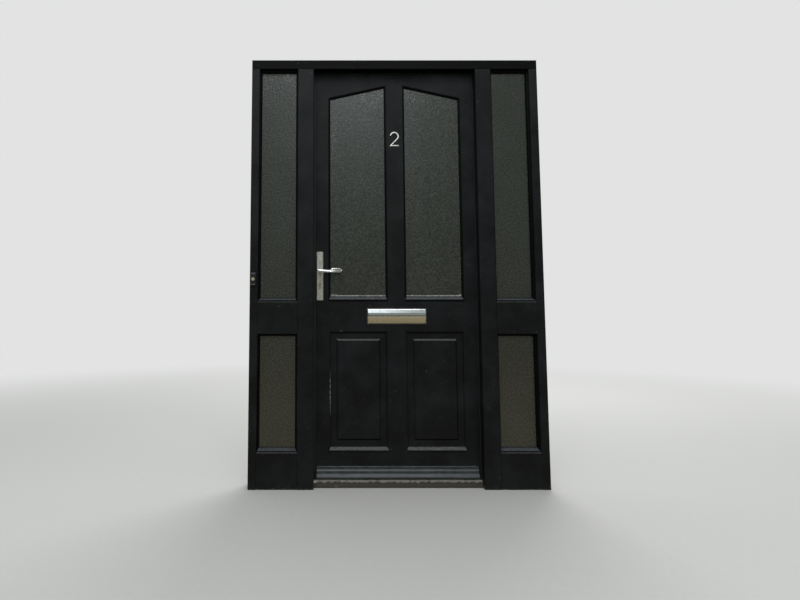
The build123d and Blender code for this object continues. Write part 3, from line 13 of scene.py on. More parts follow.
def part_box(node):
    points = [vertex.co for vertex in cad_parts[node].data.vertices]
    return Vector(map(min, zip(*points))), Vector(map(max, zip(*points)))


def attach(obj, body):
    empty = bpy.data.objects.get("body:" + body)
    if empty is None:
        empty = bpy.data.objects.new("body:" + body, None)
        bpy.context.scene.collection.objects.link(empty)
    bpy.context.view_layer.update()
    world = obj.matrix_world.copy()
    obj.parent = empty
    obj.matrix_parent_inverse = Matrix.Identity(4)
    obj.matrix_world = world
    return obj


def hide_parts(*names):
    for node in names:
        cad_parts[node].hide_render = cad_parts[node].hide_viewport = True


bl_info = {
    "name": "Glazed entrance door with sidelights",
    "version": (1, 0, 0),
    "blender": (4, 5, 0),
    "location": "View3D > Sidebar > Door",
    "description": "Paint, glass, ironmongery and small pieces of a timber door set",
    "category": "Object",
}

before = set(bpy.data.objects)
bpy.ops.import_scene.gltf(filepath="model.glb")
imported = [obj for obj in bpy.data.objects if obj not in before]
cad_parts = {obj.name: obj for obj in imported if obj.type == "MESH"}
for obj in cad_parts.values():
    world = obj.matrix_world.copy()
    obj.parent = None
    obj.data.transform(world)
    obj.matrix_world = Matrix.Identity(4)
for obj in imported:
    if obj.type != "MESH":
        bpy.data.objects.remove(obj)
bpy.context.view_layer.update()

MM = 0.001

UPRIGHT_TIMBER = (
    "frame_jamb_left", "frame_jamb_right", "mullion_left", "mullion_right",
    "hinge_stile", "upper_muntin", "lower_muntin", "panel_left", "panel_right",
)
LEVEL_TIMBER = (
    "side_mid_rail_left", "side_mid_rail_right", "side_bottom_rail_left",
    "side_bottom_rail_right", "leaf_top_rail", "leaf_bottom_rail",
)
SIDE_BEADS = ("side_beads_left", "side_beads_right")
LEAF_BEADS = ("light_beads_left", "light_beads_right")
LEAF_PANES = ("leaf_glass_left", "leaf_glass_right")
SIDE_PANES = (
    "side_glass_upper_left", "side_glass_upper_right",
    "side_glass_lower_left", "side_glass_lower_right",
)
NICKEL_NODES = ("handle_plate_outer", "handle_plate_inner")
CHROME_NODES = ("letter_plate", "letter_inner_frame", "letter_inner_flap")
STEEL_NODES = (
    "hinge_frame_flaps", "hinge_leaf_flaps", "hinge_pins", "lock_case", "lock_forend", "lock_keep",
    "spindle", "handle_bolts", "letter_bolts", "latch_bolt", "deadbolt",
)
BRASS_NODES = ("cylinder_body", "cylinder_plug")
RUBBER_NODES = ("frame_seal", "threshold_seal")

# Where the solids are that the pieces made here have to meet
LIGHT_RAKE = math.radians(12.7)
LIGHT_CORNER = (0.340, 1.941)
SILL_BEAD_TOP = 0.925
JOINERY_SHIFT = 4 * MM
HINGE_LEVELS = (0.265, 1.0725, 1.88)
HINGE_FLAP_FACES = (0.419, 0.422)
FIXING_LEVELS = (0.28, 0.64, 1.15, 1.9)
FIXING_INSET = 0.67685
FIXING_DEPTH = 30 * MM

# The stage
FLOOR_RADIUS = 60.0
CARD_RADIUS = 9.0
CARD_HEIGHT = 9.0
CARD_LIFT = 10 * MM
LAMP_AIM = Vector((0, 0, 1.0))


def linear(hex_colour):
    """Turns an sRGB hex colour into the linear red, green, blue and alpha of Blender's sockets."""
    parts = [int(hex_colour[i:i + 2], 16) / 255 for i in (1, 3, 5)]
    turned = [p / 12.92 if p <= 0.04045 else ((p + 0.055) / 1.055) ** 2.4 for p in parts]
    return (*turned, 1.0)


def add_node(tree, kind, inputs=None, stops=None, **settings):
    """Adds a node, sets its properties and colour stops, and fills or links its inputs.

    An input's value is a number, a vector, a colour in hex, or the socket that feeds it.
    """
    node = tree.nodes.new(kind)
    node.location = (200 * (len(tree.nodes) - 2), 0)
    for name, value in settings.items():
        setattr(node, name, value)
    if stops:
        ramp = node.color_ramp.elements
        while len(ramp) < len(stops):
            ramp.new(0.5)
        for element, (place, colour) in zip(ramp, stops):
            element.position = place
            element.color = colour
    for key, value in (inputs or {}).items():
        socket = node.inputs[key]
        if isinstance(value, bpy.types.NodeSocket):
            tree.links.new(value, socket)
        else:
            socket.default_value = linear(value) if isinstance(value, str) else value
    return node


def new_material(name):
    """An empty material, its node tree, and the object's own coordinates in it."""
    material = bpy.data.materials.new(name)
    material.use_nodes = True
    tree = material.node_tree
    tree.nodes.clear()
    place = add_node(tree, "ShaderNodeTexCoord").outputs["Object"]
    return material, tree, place


def close_material(material, surface):
    """Links the finished surface to the material's output."""
    add_node(material.node_tree, "ShaderNodeOutputMaterial", {"Surface": surface})
    return material


def per_metre(size_mm):
    """The scale that makes a pattern repeat about once in this many millimetres."""
    return 1000.0 / size_mm


def mottle(tree, place, size_mm, detail, roughness=0.5, distortion=0.0):
    """Uneven noise with spots of about this size."""
    return add_node(tree, "ShaderNodeTexNoise", {
        "Vector": place, "Scale": per_metre(size_mm), "Detail": detail, "Roughness": roughness,
        "Distortion": distortion}).outputs[0]


def remap(tree, value, start, end, low=0.0, high=1.0, **settings):
    """Spreads what lies between start and end over low to high."""
    return add_node(tree, "ShaderNodeMapRange", {
        "Value": value, "From Min": start, "From Max": end, "To Min": low, "To Max": high},
        **settings).outputs[0]


def blend(tree, share, first, second, **settings):
    """Mixes two colours."""
    return add_node(tree, "ShaderNodeMix", {
        0: share, 6: first, 7: second}, data_type="RGBA", **settings).outputs[2]


def compute(tree, operation, *values, clamp=False):
    """One sum on two or three values."""
    return add_node(
        tree, "ShaderNodeMath", dict(enumerate(values)), operation=operation,
        use_clamp=clamp).outputs[0]


def axis(tree, vector, letter):
    """One coordinate of a vector."""
    return add_node(tree, "ShaderNodeSeparateXYZ", {0: vector}).outputs[letter]


def facing_up(tree):
    """How far a surface faces up: 1 for a ledge, 0 for a wall and -1 for an underside."""
    return axis(tree, add_node(tree, "ShaderNodeNewGeometry").outputs["Normal"], "Z")


def stretched(tree, place, scale):
    """Coordinates that draw a pattern out along the axes with a small scale."""
    return add_node(tree, "ShaderNodeMapping", {"Vector": place, "Scale": scale}).outputs[0]


def bumped(tree, height, relief_mm):
    """The normal of a surface with this relief."""
    return add_node(tree, "ShaderNodeBump", {
        "Height": height, "Distance": relief_mm * MM, "Strength": 1.0}).outputs[0]


def coat(material, colour, roughness, height, relief_mm, more):
    """Closes a material with one principled surface that has this relief."""
    surface = add_node(material.node_tree, "ShaderNodeBsdfPrincipled", {
        "Base Color": colour, "Roughness": roughness,
        "Normal": bumped(material.node_tree, height, relief_mm), **more}).outputs[0]
    return close_material(material, surface)


def local_patch(tree, place, centre, half, core, strength):
    """A soft ellipsoid round a point: strength in its core, and nothing past its half sizes."""
    local = add_node(tree, "ShaderNodeMapping", {
        "Vector": place, "Location": tuple(-c / h for c, h in zip(centre, half)),
        "Scale": tuple(1 / h for h in half)}).outputs[0]
    ball = add_node(tree, "ShaderNodeVectorMath", {0: local}, operation="LENGTH").outputs["Value"]
    return remap(tree, ball, 1.0, core, 0.0, strength)


def dress(names, material):
    """Puts a material on every slot of these CAD nodes."""
    for name in names:
        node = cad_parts[name]
        if not node.material_slots:
            node.data.materials.append(material)
        for slot in node.material_slots:
            slot.material = material


def settings():
    """The door's settings on the scene."""
    return bpy.context.scene.door


def make_object(mesh, name, material):
    """Makes an object of a bmesh, in place."""
    data = bpy.data.meshes.new(name)
    mesh.to_mesh(data)
    mesh.free()
    data.materials.append(material)
    piece = bpy.data.objects.new(name, data)
    bpy.context.scene.collection.objects.link(piece)
    return piece


def finish_piece(mesh, name, body, material, smooth_angle):
    """Makes a piece of the door of a bmesh, riding on a body and given a material."""
    bmesh.ops.recalc_face_normals(mesh, faces=mesh.faces)
    piece = make_object(mesh, name, material)
    piece.data.shade_smooth()
    piece.data.set_sharp_from_angle(angle=math.radians(smooth_angle))
    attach(piece, body)
    return piece


def verts_of(made):
    """The vertices among what an operator made."""
    return [v for v in made["geom"] if isinstance(v, bmesh.types.BMVert)]


def faces_of(made):
    """The faces among what an operator made."""
    return [f for f in made["geom"] if isinstance(f, bmesh.types.BMFace)]


def add_block(mesh, size, centre):
    """Adds a box of this size round a point."""
    verts = bmesh.ops.create_cube(mesh, size=1.0)["verts"]
    bmesh.ops.scale(mesh, vec=size, verts=verts)
    bmesh.ops.translate(mesh, vec=centre, verts=verts)
    return verts


def round_edges(mesh, edges, radius, segments):
    """Rounds these edges."""
    bmesh.ops.bevel(
        mesh, geom=edges, offset=radius, affect="EDGES", segments=segments, profile=0.5,
        material=-1)


def quarter_turn(letter):
    """The matrix of a quarter turn about an axis."""
    return Matrix.Rotation(math.radians(90), 3, letter)


# Settings shown in the sidebar


class PaintSettings(bpy.types.PropertyGroup):
    colour: bpy.props.FloatVectorProperty(
        name="Paint", description="Colour of the satin black paint",
        subtype="COLOR", size=4, min=0, max=1, default=linear("#131416"))
    faded: bpy.props.FloatVectorProperty(
        name="Faded paint", description="Colour of the paint where rain and sun have dulled it",
        subtype="COLOR", size=4, min=0, max=1, default=linear("#1F2224"))
    dust: bpy.props.FloatVectorProperty(
        name="Dust", description="Colour of the dust on ledges and sill beads",
        subtype="COLOR", size=4, min=0, max=1, default=linear("#7A7C7A"))
    brush: bpy.props.FloatProperty(
        name="Brush marks", description="Distance between brush marks",
        unit="LENGTH", default=4 * MM)


class GlassSettings(bpy.types.PropertyGroup):
    # Painted shade: the glass is opaque, and this colour paints the dark hall seen through it
    tint_and_hall_shade: bpy.props.FloatVectorProperty(
        name="Glass", description="Colour of the obscured glass with a dark hall behind it",
        subtype="COLOR", size=4, min=0, max=1, default=linear("#2B2E29"))
    pebble: bpy.props.FloatProperty(
        name="Pebble", description="Width of one pebble of the pattern",
        unit="LENGTH", default=7 * MM)
    relief: bpy.props.FloatProperty(
        name="Relief", description="Height of the pebbles",
        unit="LENGTH", default=0.5 * MM)
    pitch: bpy.props.FloatProperty(
        name="Grid", description="Spacing of the grid that carries the relief",
        unit="LENGTH", default=3.5 * MM)


class NumeralSettings(bpy.types.PropertyGroup):
    height: bpy.props.FloatProperty(
        name="Height", description="Height of the door number",
        unit="LENGTH", default=74.5 * MM)
    width: bpy.props.FloatProperty(
        name="Width", description="Width of the door number",
        unit="LENGTH", default=45.5 * MM)
    stroke: bpy.props.FloatProperty(
        name="Stroke", description="Width of the number's stroke",
        unit="LENGTH", default=5.5 * MM)
    thickness: bpy.props.FloatProperty(
        name="Thickness", description="Thickness of the number's plate",
        unit="LENGTH", default=3 * MM)
    place: bpy.props.FloatVectorProperty(
        name="Centre", description="Middle of the number across the leaf and above the floor",
        subtype="XYZ", unit="LENGTH", size=3, default=(0.003, 0.0, 1.7285))


class FastenerSettings(bpy.types.PropertyGroup):
    screw_head: bpy.props.FloatProperty(
        name="Screw head", description="Diameter of a countersunk screw head",
        unit="LENGTH", default=7.5 * MM)
    pellet: bpy.props.FloatProperty(
        name="Pellet", description="Diameter of the wood pellets over the frame fixings",
        unit="LENGTH", default=17.6 * MM)


class StageSettings(bpy.types.PropertyGroup):
    backdrop: bpy.props.FloatVectorProperty(
        name="Backdrop", description="Colour of the pale surround",
        subtype="COLOR", size=4, min=0, max=1, default=linear("#E2E3E2"))
    floor: bpy.props.FloatVectorProperty(
        name="Floor", description="Colour of the pale floor",
        subtype="COLOR", size=4, min=0, max=1, default=linear("#D4D3CF"))
    camera: bpy.props.FloatVectorProperty(
        name="Camera", description="Where the photograph was taken from",
        subtype="XYZ", unit="LENGTH", size=3, default=(-0.3692, -2.9127, 0.8529))
    pitch: bpy.props.FloatProperty(
        name="Pitch", description="How far the camera looks up",
        unit="ROTATION", default=math.radians(5.29))


class DoorSettings(bpy.types.PropertyGroup):
    paint: bpy.props.PointerProperty(type=PaintSettings)
    glass: bpy.props.PointerProperty(type=GlassSettings)
    numeral: bpy.props.PointerProperty(type=NumeralSettings)
    fasteners: bpy.props.PointerProperty(type=FastenerSettings)
    stage: bpy.props.PointerProperty(type=StageSettings)


# Paint on the timber


def satin_paint(name, stretch, gloss=0.0, marks=(), shine=0.17, painted_shade_colour=None, dust=None):
    """Black exterior satin paint, brushed on softwood along one direction.

    stretch shrinks the pattern along the member, so brush marks run that way. marks are
    (centre, half sizes, strength, colour) of local chips and rubbed places. shine is the
    specular level. The shade colour argument is a darker paint colour, painted shade for
    parts that lie in shade, and dust the colour of what lies on its ledges.
    """
    look = settings().paint
    material, tree, place = new_material(name)
    along = stretched(tree, place, stretch)
    # Real bristle tracks are about 1 mm apart; they are drawn at the brush setting to show
    brush = mottle(tree, along, look.brush / MM, 3.0)
    # The grain of the softwood stands through three coats at about 12 mm
    grain = mottle(tree, along, 12, 4.0, distortion=0.6)
    broad = mottle(tree, place, 160, 4.0, 0.6)
    fine = mottle(tree, place, 9, 5.0, 0.65)
    faded = remap(tree, broad, 0.42, 0.68, 0.0, 0.75)
    # Painted shade: a painted shade colour, where given, replaces both paint colours
    colour = blend(tree, faded, painted_shade_colour or tuple(look.colour), painted_shade_colour or tuple(look.faded))
    # Dust settles on what faces up
    up = facing_up(tree)
    ledge = remap(tree, up, 0.25, 0.85)
    speck = remap(tree, fine, 0.30, 0.62, 0.25, 0.8)
    dusty = compute(tree, "MULTIPLY", ledge, speck)
    colour = blend(tree, dusty, colour, dust or tuple(look.dust))
    # Painted shade: surfaces that face down are painted deep black for the shade beneath them
    under = remap(tree, up, -0.02, -0.2)
    colour = blend(tree, under, colour, "#060707")
    # Scuffs and splashed grit in the lowest 30 mm of the frame
    low = remap(tree, axis(tree, place, "Z"), 0.0, 0.03, 0.1, 0.0)
    splash = compute(tree, "ADD", fine, low)
    grit = remap(tree, splash, 0.66, 0.74, 0.0, 0.7)
    colour = blend(tree, grit, colour, "#6A655A")
    for centre, half, strength, tone in marks:
        inside = local_patch(tree, place, centre, half, 0.4, strength)
        ragged = compute(tree, "MULTIPLY", inside, remap(tree, fine, 0.40, 0.52))
        colour = blend(tree, ragged, colour, tone)
    rough = remap(tree, broad, 0.3, 0.7, 0.40 - gloss, 0.54 - gloss)
    rough = compute(tree, "ADD", rough, dusty, clamp=True)
    relief = compute(tree, "ADD", brush, grain)
    return coat(material, colour, rough, relief, 0.16, {
        "IOR": 1.45, "Specular IOR Level": shine})


class DOOR_OT_paint_timber(bpy.types.Operator):
    """Paints the frame, leaf, beads and mouldings in satin black"""

    bl_idname = "door.paint_timber"
    bl_label = "Paint the timber"

    def execute(self, context):
        upright, level, mitred = (1.0, 1.0, 0.03), (0.03, 1.0, 1.0), (0.3, 1.0, 0.3)
        rubbed = ((-0.384, 0.007, 1.284), (0.03, 0.02, 0.045), 0.5, "#0B0C0D")
        scratch = ((-0.272, 0.007, 0.7475), (0.012, 0.02, 0.0045), 1.0, "#C9CACA")
        chips = ((-0.3265, 0.005, 0.45), (0.0045, 0.03, 0.13), 0.6, "#B5B3AC")
        # Painted shade: the beads lie back in the shade of the lights, so they get a darker paint
        # colour and less shine
        shaded = {"shine": 0.08, "painted_shade_colour": "#090A0A"}
        # Painted shade: the head lies in shade under the wall above, so it gets a darker paint
        # colour and less shine
        painted_head_shade = {"shine": 0.05, "painted_shade_colour": "#0F1110"}
        paints = (
            (UPRIGHT_TIMBER, "satin_black_paint_brushed_upright", upright, {}),
            (["lock_stile"], "satin_black_paint_rubbed_stile", upright, {"marks": [rubbed]}),
            (LEVEL_TIMBER, "satin_black_paint_brushed_level", level, {}),
            (["leaf_mid_rail"], "satin_black_paint_scratched_rail", level, {"marks": [scratch]}),
            (["frame_head"], "satin_black_paint_head_painted_shade", level, painted_head_shade),
            (LEAF_BEADS, "satin_black_paint_beads_painted_shade", mitred,
             {"dust": "#707578", **shaded}),
            (SIDE_BEADS, "satin_black_paint_side_beads_painted_shade", mitred,
             {"dust": "#606569", **shaded}),
            (["panel_moulding_left"], "satin_black_paint_chipped_moulding", mitred,
             {"gloss": 0.06, "marks": [chips]}),
            (["panel_moulding_right"], "satin_black_paint_on_moulding", mitred, {"gloss": 0.06}),
        )
        for names, name, stretch, look in paints:
            dress(names, satin_paint(name, stretch, **look))
        return {"FINISHED"}


def weathered_bar_paint():
    """Charcoal paint on the weather bar, chalked by rain and dusty in its hollows."""
    material, tree, place = new_material("charcoal_paint_weather_bar")
    streak = mottle(tree, stretched(tree, place, (0.05, 1.0, 1.0)), 6, 4.0)
    blot = mottle(tree, place, 35, 5.0, 0.65)
    chalk = remap(tree, blot, 0.35, 0.7)
    colour = blend(tree, chalk, "#26292B", "#3D4143")
    ledge = remap(tree, facing_up(tree), 0.1, 0.9, 0.0, 0.75)
    dusty = compute(tree, "MULTIPLY", ledge, remap(tree, streak, 0.3, 0.6, 0.35))
    colour = blend(tree, dusty, colour, "#6C7174")
    return coat(material, colour, 0.46, streak, 0.2, {
        "IOR": 1.45, "Specular IOR Level": 0.4})


# Patterned glass


def pebbled_glass(name, face, dust_marks, sill=None):
    """Grey pebble-patterned float glass of a sealed unit, opaque, its colour a painted shade for
    the dark hall behind it.

    Rolled glass has soft lens-like pebbles, so reflections break into small flecks. The
    whitish marks are dried cleaning film and old sealant in the corners: each is its place
    across and its height, its half width and half height, and its strength. face is the
    depth of the glass's face, and sill the height of a sill bead with a paler line along it.
    """
    look = settings().glass
    material, tree, place = new_material(name)
    cloudy = mottle(tree, place, 220, 3.0)
    grain = mottle(tree, place, 7.5, 1.5)
    stipple = add_node(tree, "ShaderNodeTexVoronoi", {
        "Vector": place, "Scale": per_metre(look.pebble / MM), "Randomness": 1.0},
        feature="SMOOTH_F1").outputs["Distance"]
    fine = mottle(tree, place, 3.0, 3.0)
    tone = remap(tree, cloudy, 0.35, 0.65)
    # Painted shade: the glass's colour stands for the dark hall behind it
    colour = blend(tree, tone, tuple(look.tint_and_hall_shade), "#262923")
    # Painted refraction: each pebble's colour is painted darker in its middle, where it gathers the
    # dark hall, and paler round its edge
    cell = remap(tree, grain, 0.36, 0.64)
    shade = remap(tree, cell, 0.0, 1.0, 0.6, 1.62)
    colour = blend(tree, 1.0, colour, shade, blend_type="MULTIPLY")
    # Dried splashes stay on some of the pebbles
    patchy = mottle(tree, place, 11, 2.0)
    flecks = remap(tree, patchy, 0.5, 0.6)
    flecks = compute(tree, "MULTIPLY", flecks, remap(tree, stipple, 0.34, 0.2))
    for across, height, half_width, half_height, strength in dust_marks:
        inside = local_patch(
            tree, place, (across, face, height), (half_width, 20 * MM, half_height), 0.3, strength)
        ragged = compute(tree, "MULTIPLY", inside, flecks)
        colour = blend(tree, ragged, colour, "#B9BDBC")
    if sill:
        # A paler, patchy line on the glass's outer face just above the sill bead
        sill_line = remap(tree, axis(tree, place, "Z"), sill + 5 * MM, sill + 2 * MM)
        outdoors = remap(tree, axis(tree, place, "Y"), 32 * MM, 28 * MM)
        sill_line = compute(tree, "MULTIPLY", sill_line, outdoors)
        sill_line = compute(tree, "MULTIPLY", sill_line, remap(tree, patchy, 0.3, 0.6, 0.35))
        colour = blend(tree, sill_line, colour, "#A2A5A3")
    relief = compute(tree, "MULTIPLY_ADD", stipple, 0.35, fine)
    return coat(material, colour, 0.16, relief, 0.5, {
        "IOR": 1.52, "Specular IOR Level": 0.95})


def pebble_height(x, z):
    """Height of the rolled pattern at a point of the pane, from 0 to 1."""
    size = settings().glass.pebble
    near = noise.voronoi(Vector((x / size, 0.0, z / size)))[0][0]
    return max(0.0, 1.0 - near) ** 2


def relief_sheet(node, slope_from=None):
    """The rolled outer face of a pane: a thin plate with pebbles, closed at its back."""
    look = settings().glass
    low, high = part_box(node)
    edge = 2 * MM
    width, height = high.x - low.x - 2 * edge, high.z - low.z - 2 * edge
    face = low.y
    mesh = bmesh.new()
    bmesh.ops.create_grid(
        mesh, x_segments=round(width / look.pitch), y_segments=round(height / look.pitch), size=0.5)
    bmesh.ops.scale(mesh, vec=(width, height, 1), verts=mesh.verts)
    bmesh.ops.rotate(mesh, matrix=quarter_turn("X"), verts=mesh.verts)
    middle = ((low.x + high.x) / 2, face, (low.z + high.z) / 2)
    bmesh.ops.translate(mesh, vec=middle, verts=mesh.verts)
    if slope_from is not None:
        point, normal = slope_from
        bmesh.ops.bisect_plane(
            mesh, geom=mesh.verts[:] + mesh.edges[:] + mesh.faces[:], dist=1e-6,
            plane_co=point, plane_no=normal, clear_outer=True)
    rim = [e for e in mesh.edges if e.is_boundary]
    held = {v for e in rim for v in e.verts}
    skin = 0.15 * MM
    for vert in mesh.verts:
        lift = 0.0 if vert in held else look.relief * pebble_height(vert.co.x, vert.co.z)
        vert.co.y = face - skin - lift
    for vert in verts_of(bmesh.ops.extrude_edge_only(mesh, edges=rim)):
        vert.co.y = face
    bmesh.ops.edgeloop_fill(mesh, edges=[e for e in mesh.edges if e.is_boundary])
    return mesh


class DOOR_OT_glaze(bpy.types.Operator):
    """Gives the panes their patterned glass and its rolled relief"""

    bl_idname = "door.glaze"
    bl_label = "Glaze the lights"

    def execute(self, context):
        leaf_glass = pebbled_glass("pebbled_glass_leaf", 19 * MM, (
            (0.304, 0.936, 0.03, 0.012, 0.8), (0.334, 0.925, 0.02, 0.012, 0.9),
            (0.09, 0.93, 0.035, 0.012, 0.7), (-0.31, 0.932, 0.03, 0.01, 0.7),
            (0.335, 1.06, 0.006, 0.18, 0.5), (-0.11, 1.955, 0.08, 0.05, 0.75),
            (0.115, 1.945, 0.065, 0.024, 0.9), (-0.306, 1.73, 0.02, 0.16, 0.35)),
            SILL_BEAD_TOP)
        side_glass = pebbled_glass("pebbled_glass_sidelights", -15 * MM, (
            (-0.53, 2.052, 0.045, 0.025, 0.9), (0.671, 2.036, 0.008, 0.012, 1.0)))
        dress(LEAF_PANES, leaf_glass)
        dress(SIDE_PANES, side_glass)
        across, top = LIGHT_CORNER
        for node, way in zip(LEAF_PANES, (-1, 1)):
            plane = ((way * across + JOINERY_SHIFT, 0, top), (way * math.tan(LIGHT_RAKE), 0, 1.0))
            sheet = relief_sheet(node, plane)
            finish_piece(sheet, node + "_relief", "leaf", leaf_glass, 60)
        for node in SIDE_PANES:
            sheet = relief_sheet(node)
            finish_piece(sheet, node + "_relief", "frame", side_glass, 60)
        return {"FINISHED"}


# Ironmongery


def metal(name, base, stain, rough, grain_stretch, grain_mm, stain_amount, film=None, faces=False):
    """A metal with its surface grain, a stain in patches, and a film where one is given.

    film is (low height, high height, colour): a flecked film of this colour, none above the
    high height and full below the low height. With faces set, only the flat faces stain and
    the rim stays bright, a painted highlight round the rim.
    """
    material, tree, place = new_material(name)
    lines = mottle(tree, stretched(tree, place, grain_stretch), grain_mm, 3.0)
    patch = mottle(tree, place, 14, 5.0, 0.7)
    spot = mottle(tree, place, 4, 3.0, 0.6)
    stained = remap(tree, patch, 0.46, 0.62, 0.0, stain_amount)
    # Painted highlight: flat faces take a patchy stain, so the rim stays bright
    if faces:
        across = axis(tree, add_node(tree, "ShaderNodeTexCoord").outputs["Normal"], "Y")
        square = compute(tree, "MULTIPLY", across, across)
        flat = remap(tree, square, 0.85, 0.97)
        face_patches = mottle(tree, stretched(tree, place, (1.0, 1.0, 0.25)), 7, 4.0, 0.6)
        stained = remap(tree, face_patches, 0.4, 0.6, 0.1, stain_amount)
        stained = compute(tree, "MULTIPLY", stained, flat)
    colour = blend(tree, stained, base, stain)
    roughness = remap(tree, spot, 0.3, 0.7, rough * 0.75, rough * 1.35)
    roughness = compute(tree, "MULTIPLY_ADD", stained, 0.25, roughness, clamp=True)
    metallic = 1.0
    if film:
        low, high, film_colour = film
        # A flecked beige film below a set height, duller and less metallic
        below_film_line = remap(tree, axis(tree, place, "Z"), high, low)
        flecked = remap(tree, spot, 0.36, 0.6, 0.65)
        filmed = compute(tree, "MULTIPLY", below_film_line, flecked)
        colour = blend(tree, filmed, colour, film_colour)
        roughness = compute(tree, "MULTIPLY_ADD", filmed, 0.28, roughness, clamp=True)
        metallic = compute(tree, "MULTIPLY_ADD", filmed, -0.8, 1.0)
    return coat(material, colour, roughness, lines, 0.02, {"Metallic": metallic})


class DOOR_OT_finish_ironmongery(bpy.types.Operator):
    """Gives the handle, letter plate, lock, hinges and threshold their metals"""

    bl_idname = "door.finish_ironmongery"
    bl_label = "Finish the ironmongery"

    def execute(self, context):
        # Satin nickel plate: warm silver, brushed along its length; its flat faces stained grey and
        # its rim left bright, a painted highlight round the rim
        dress(NICKEL_NODES, metal("satin_nickel_plate", "#F8F8F8", "#B5B3A9",
                                  0.34, (1.0, 1.0, 0.05), 1.5, 0.7, faces=True))
        # Bright chrome plate, mirror clear above; the flap takes a flecked beige film on its lower
        # half
        plating = ("#F2F3F4", "#B9B7AE", 0.07, (0.3, 1.0, 1.0), 20)
        flap_film = (0.8195, 0.8225, "#9A8A5A")
        dress(CHROME_NODES, metal("bright_chrome_plate", *plating, 0.35))
        dress(["letter_flap"], metal("bright_chrome_flap", *plating, 0.25, flap_film))
        # Bright zinc plated steel: bluish grey with a faint yellow passivation
        dress(STEEL_NODES, metal("bright_zinc_plated_steel", "#A9ACAF", "#A39A82",
                                 0.34, (1.0, 1.0, 0.2), 3, 0.4))
        # Nickel plated brass of the lock cylinder, worn to the brass round the keyway
        dress(BRASS_NODES, metal("nickel_plated_brass", "#D2CBB6", "#A39270",
                                 0.3, (1.0, 1.0, 1.0), 2, 0.6))
        dress(["guard_strip"], black_coated_steel())
        dress(["threshold"], mill_aluminium())
        dress(["weather_bar"], weathered_bar_paint())
        return {"FINISHED"}


def black_coated_steel():
    """Black paint on a thin steel strip, with rubbed corners."""
    material, tree, place = new_material("black_painted_steel_strip")
    orange = mottle(tree, place, 2, 2.0)
    rub = mottle(tree, place, 22, 5.0, 0.7)
    worn = remap(tree, rub, 0.55, 0.72, 0.0, 0.6)
    colour = blend(tree, worn, "#1B1D1F", "#3A3E41")
    return coat(material, colour, 0.33, orange, 0.03, {
        "IOR": 1.48, "Specular IOR Level": 0.5})


def mill_aluminium():
    """Extruded mill aluminium, dulled outdoors, with brown grit trodden into its hollows."""
    material, tree, place = new_material("mill_aluminium_trodden")
    die = mottle(tree, stretched(tree, place, (0.02, 1.0, 1.0)), 1.5, 3.0)
    grit = mottle(tree, place, 18, 6.0, 0.7)
    crumbs = mottle(tree, place, 3.5, 4.0, 0.7)
    # The tread under the door stays pale; grit lies lower, on its slope and nose
    hollow = remap(tree, axis(tree, place, "Z"), 25.5 * MM, 20.5 * MM, -0.1, 0.18)
    dirt = compute(tree, "ADD", grit, hollow)
    dirty = remap(tree, dirt, 0.42, 0.56, 0.0, 0.96)
    brown = blend(tree, crumbs, "#1A1811", "#413C2E")
    bare = blend(tree, die, "#A3A39D", "#C6C5BD")
    colour = blend(tree, dirty, bare, brown)
    bright = remap(tree, dirty, 0.0, 1.0, 0.45, 0.0)
    rough = remap(tree, dirty, 0.0, 1.0, 0.42, 0.95)
    relief = compute(tree, "MULTIPLY", crumbs, dirty)
    return coat(material, colour, rough, relief, 0.7, {"Metallic": bright})


# Rubber and plastics


def moulded(name, base, aged, rough, texture_mm, relief_mm, glow=0.0):
    """A moulded plastic or rubber: fine die texture, and a paler aged skin in patches."""
    material, tree, place = new_material(name)
    skin = mottle(tree, place, texture_mm, 3.0)
    age = mottle(tree, place, texture_mm * 15, 5.0, 0.65)
    aged_share = remap(tree, age, 0.4, 0.68)
    colour = blend(tree, aged_share, base, aged)
    roughness = remap(tree, age, 0.0, 1.0, rough * 0.8, min(1.0, rough * 1.25))
    return coat(material, colour, roughness, skin, relief_mm, {
        "IOR": 1.5, "Subsurface Weight": glow, "Subsurface Scale": 2 * MM})


class DOOR_OT_finish_rubber_and_plastics(bpy.types.Operator):
    """Gives the seals, bell push and letter sleeve their rubber and plastics"""

    bl_idname = "door.finish_rubber_and_plastics"
    bl_label = "Finish rubber and plastics"

    def execute(self, context):
        # Extruded EPDM rubber: matt black with a grey bloom
        dress(RUBBER_NODES, moulded(
            "extruded_seal_rubber", "#0D0D0E", "#1D1E1F", 0.72, 1.2, 0.03))
        # Injection moulded ABS, gone slightly grey outdoors
        dress(["bell_housing"], moulded(
            "moulded_black_abs", "#101112", "#1E2021", 0.36, 1.0, 0.02))
        # Yellowed translucent styrene
        dress(["bell_button"], moulded(
            "yellowed_cream_plastic", "#A59C7F", "#8A8062", 0.4, 1.0, 0.02, 0.15))
        # Moulded polypropylene of the letter sleeve
        dress(["letter_sleeve"], moulded(
            "black_polypropylene_sleeve", "#141414", "#202020", 0.55, 1.5, 0.04))
        return {"FINISHED"}


# The outer lever


def share_past(spot, start, width):
    """How far a spot lies past a start, from 0 to 1 over this width."""
    return min(1.0, max(0.0, (spot - start) / width))


def crown(across, rise):
    """Recess of a crowned face: none at its sharp edge, and rise at its rounded one."""
    return rise * (1 - math.sqrt(1 - min(across, 0.99) ** 2))


def lever_skin(spot, across, rise):
    """Recess of the lever's face, from a sharp front edge back to a rounded crown.

    spot is the distance along the bar from the neck; across runs from 0 at the low edge to
    1 at the top. Past the waist the face is folded into two crowns, one above the other.
    """
    one = crown(across, rise)
    two = crown(across * 2 % 1 if across < 1 else 1.0, rise * 0.8)
    return one + (two - one) * share_past(spot, 46 * MM, 12 * MM)


def lever_back(run):
    """How far the bar's back lies behind its front plane, for a run from 0 to 1."""
    return (9 - 28.5 * run + 33 * run * run) * MM


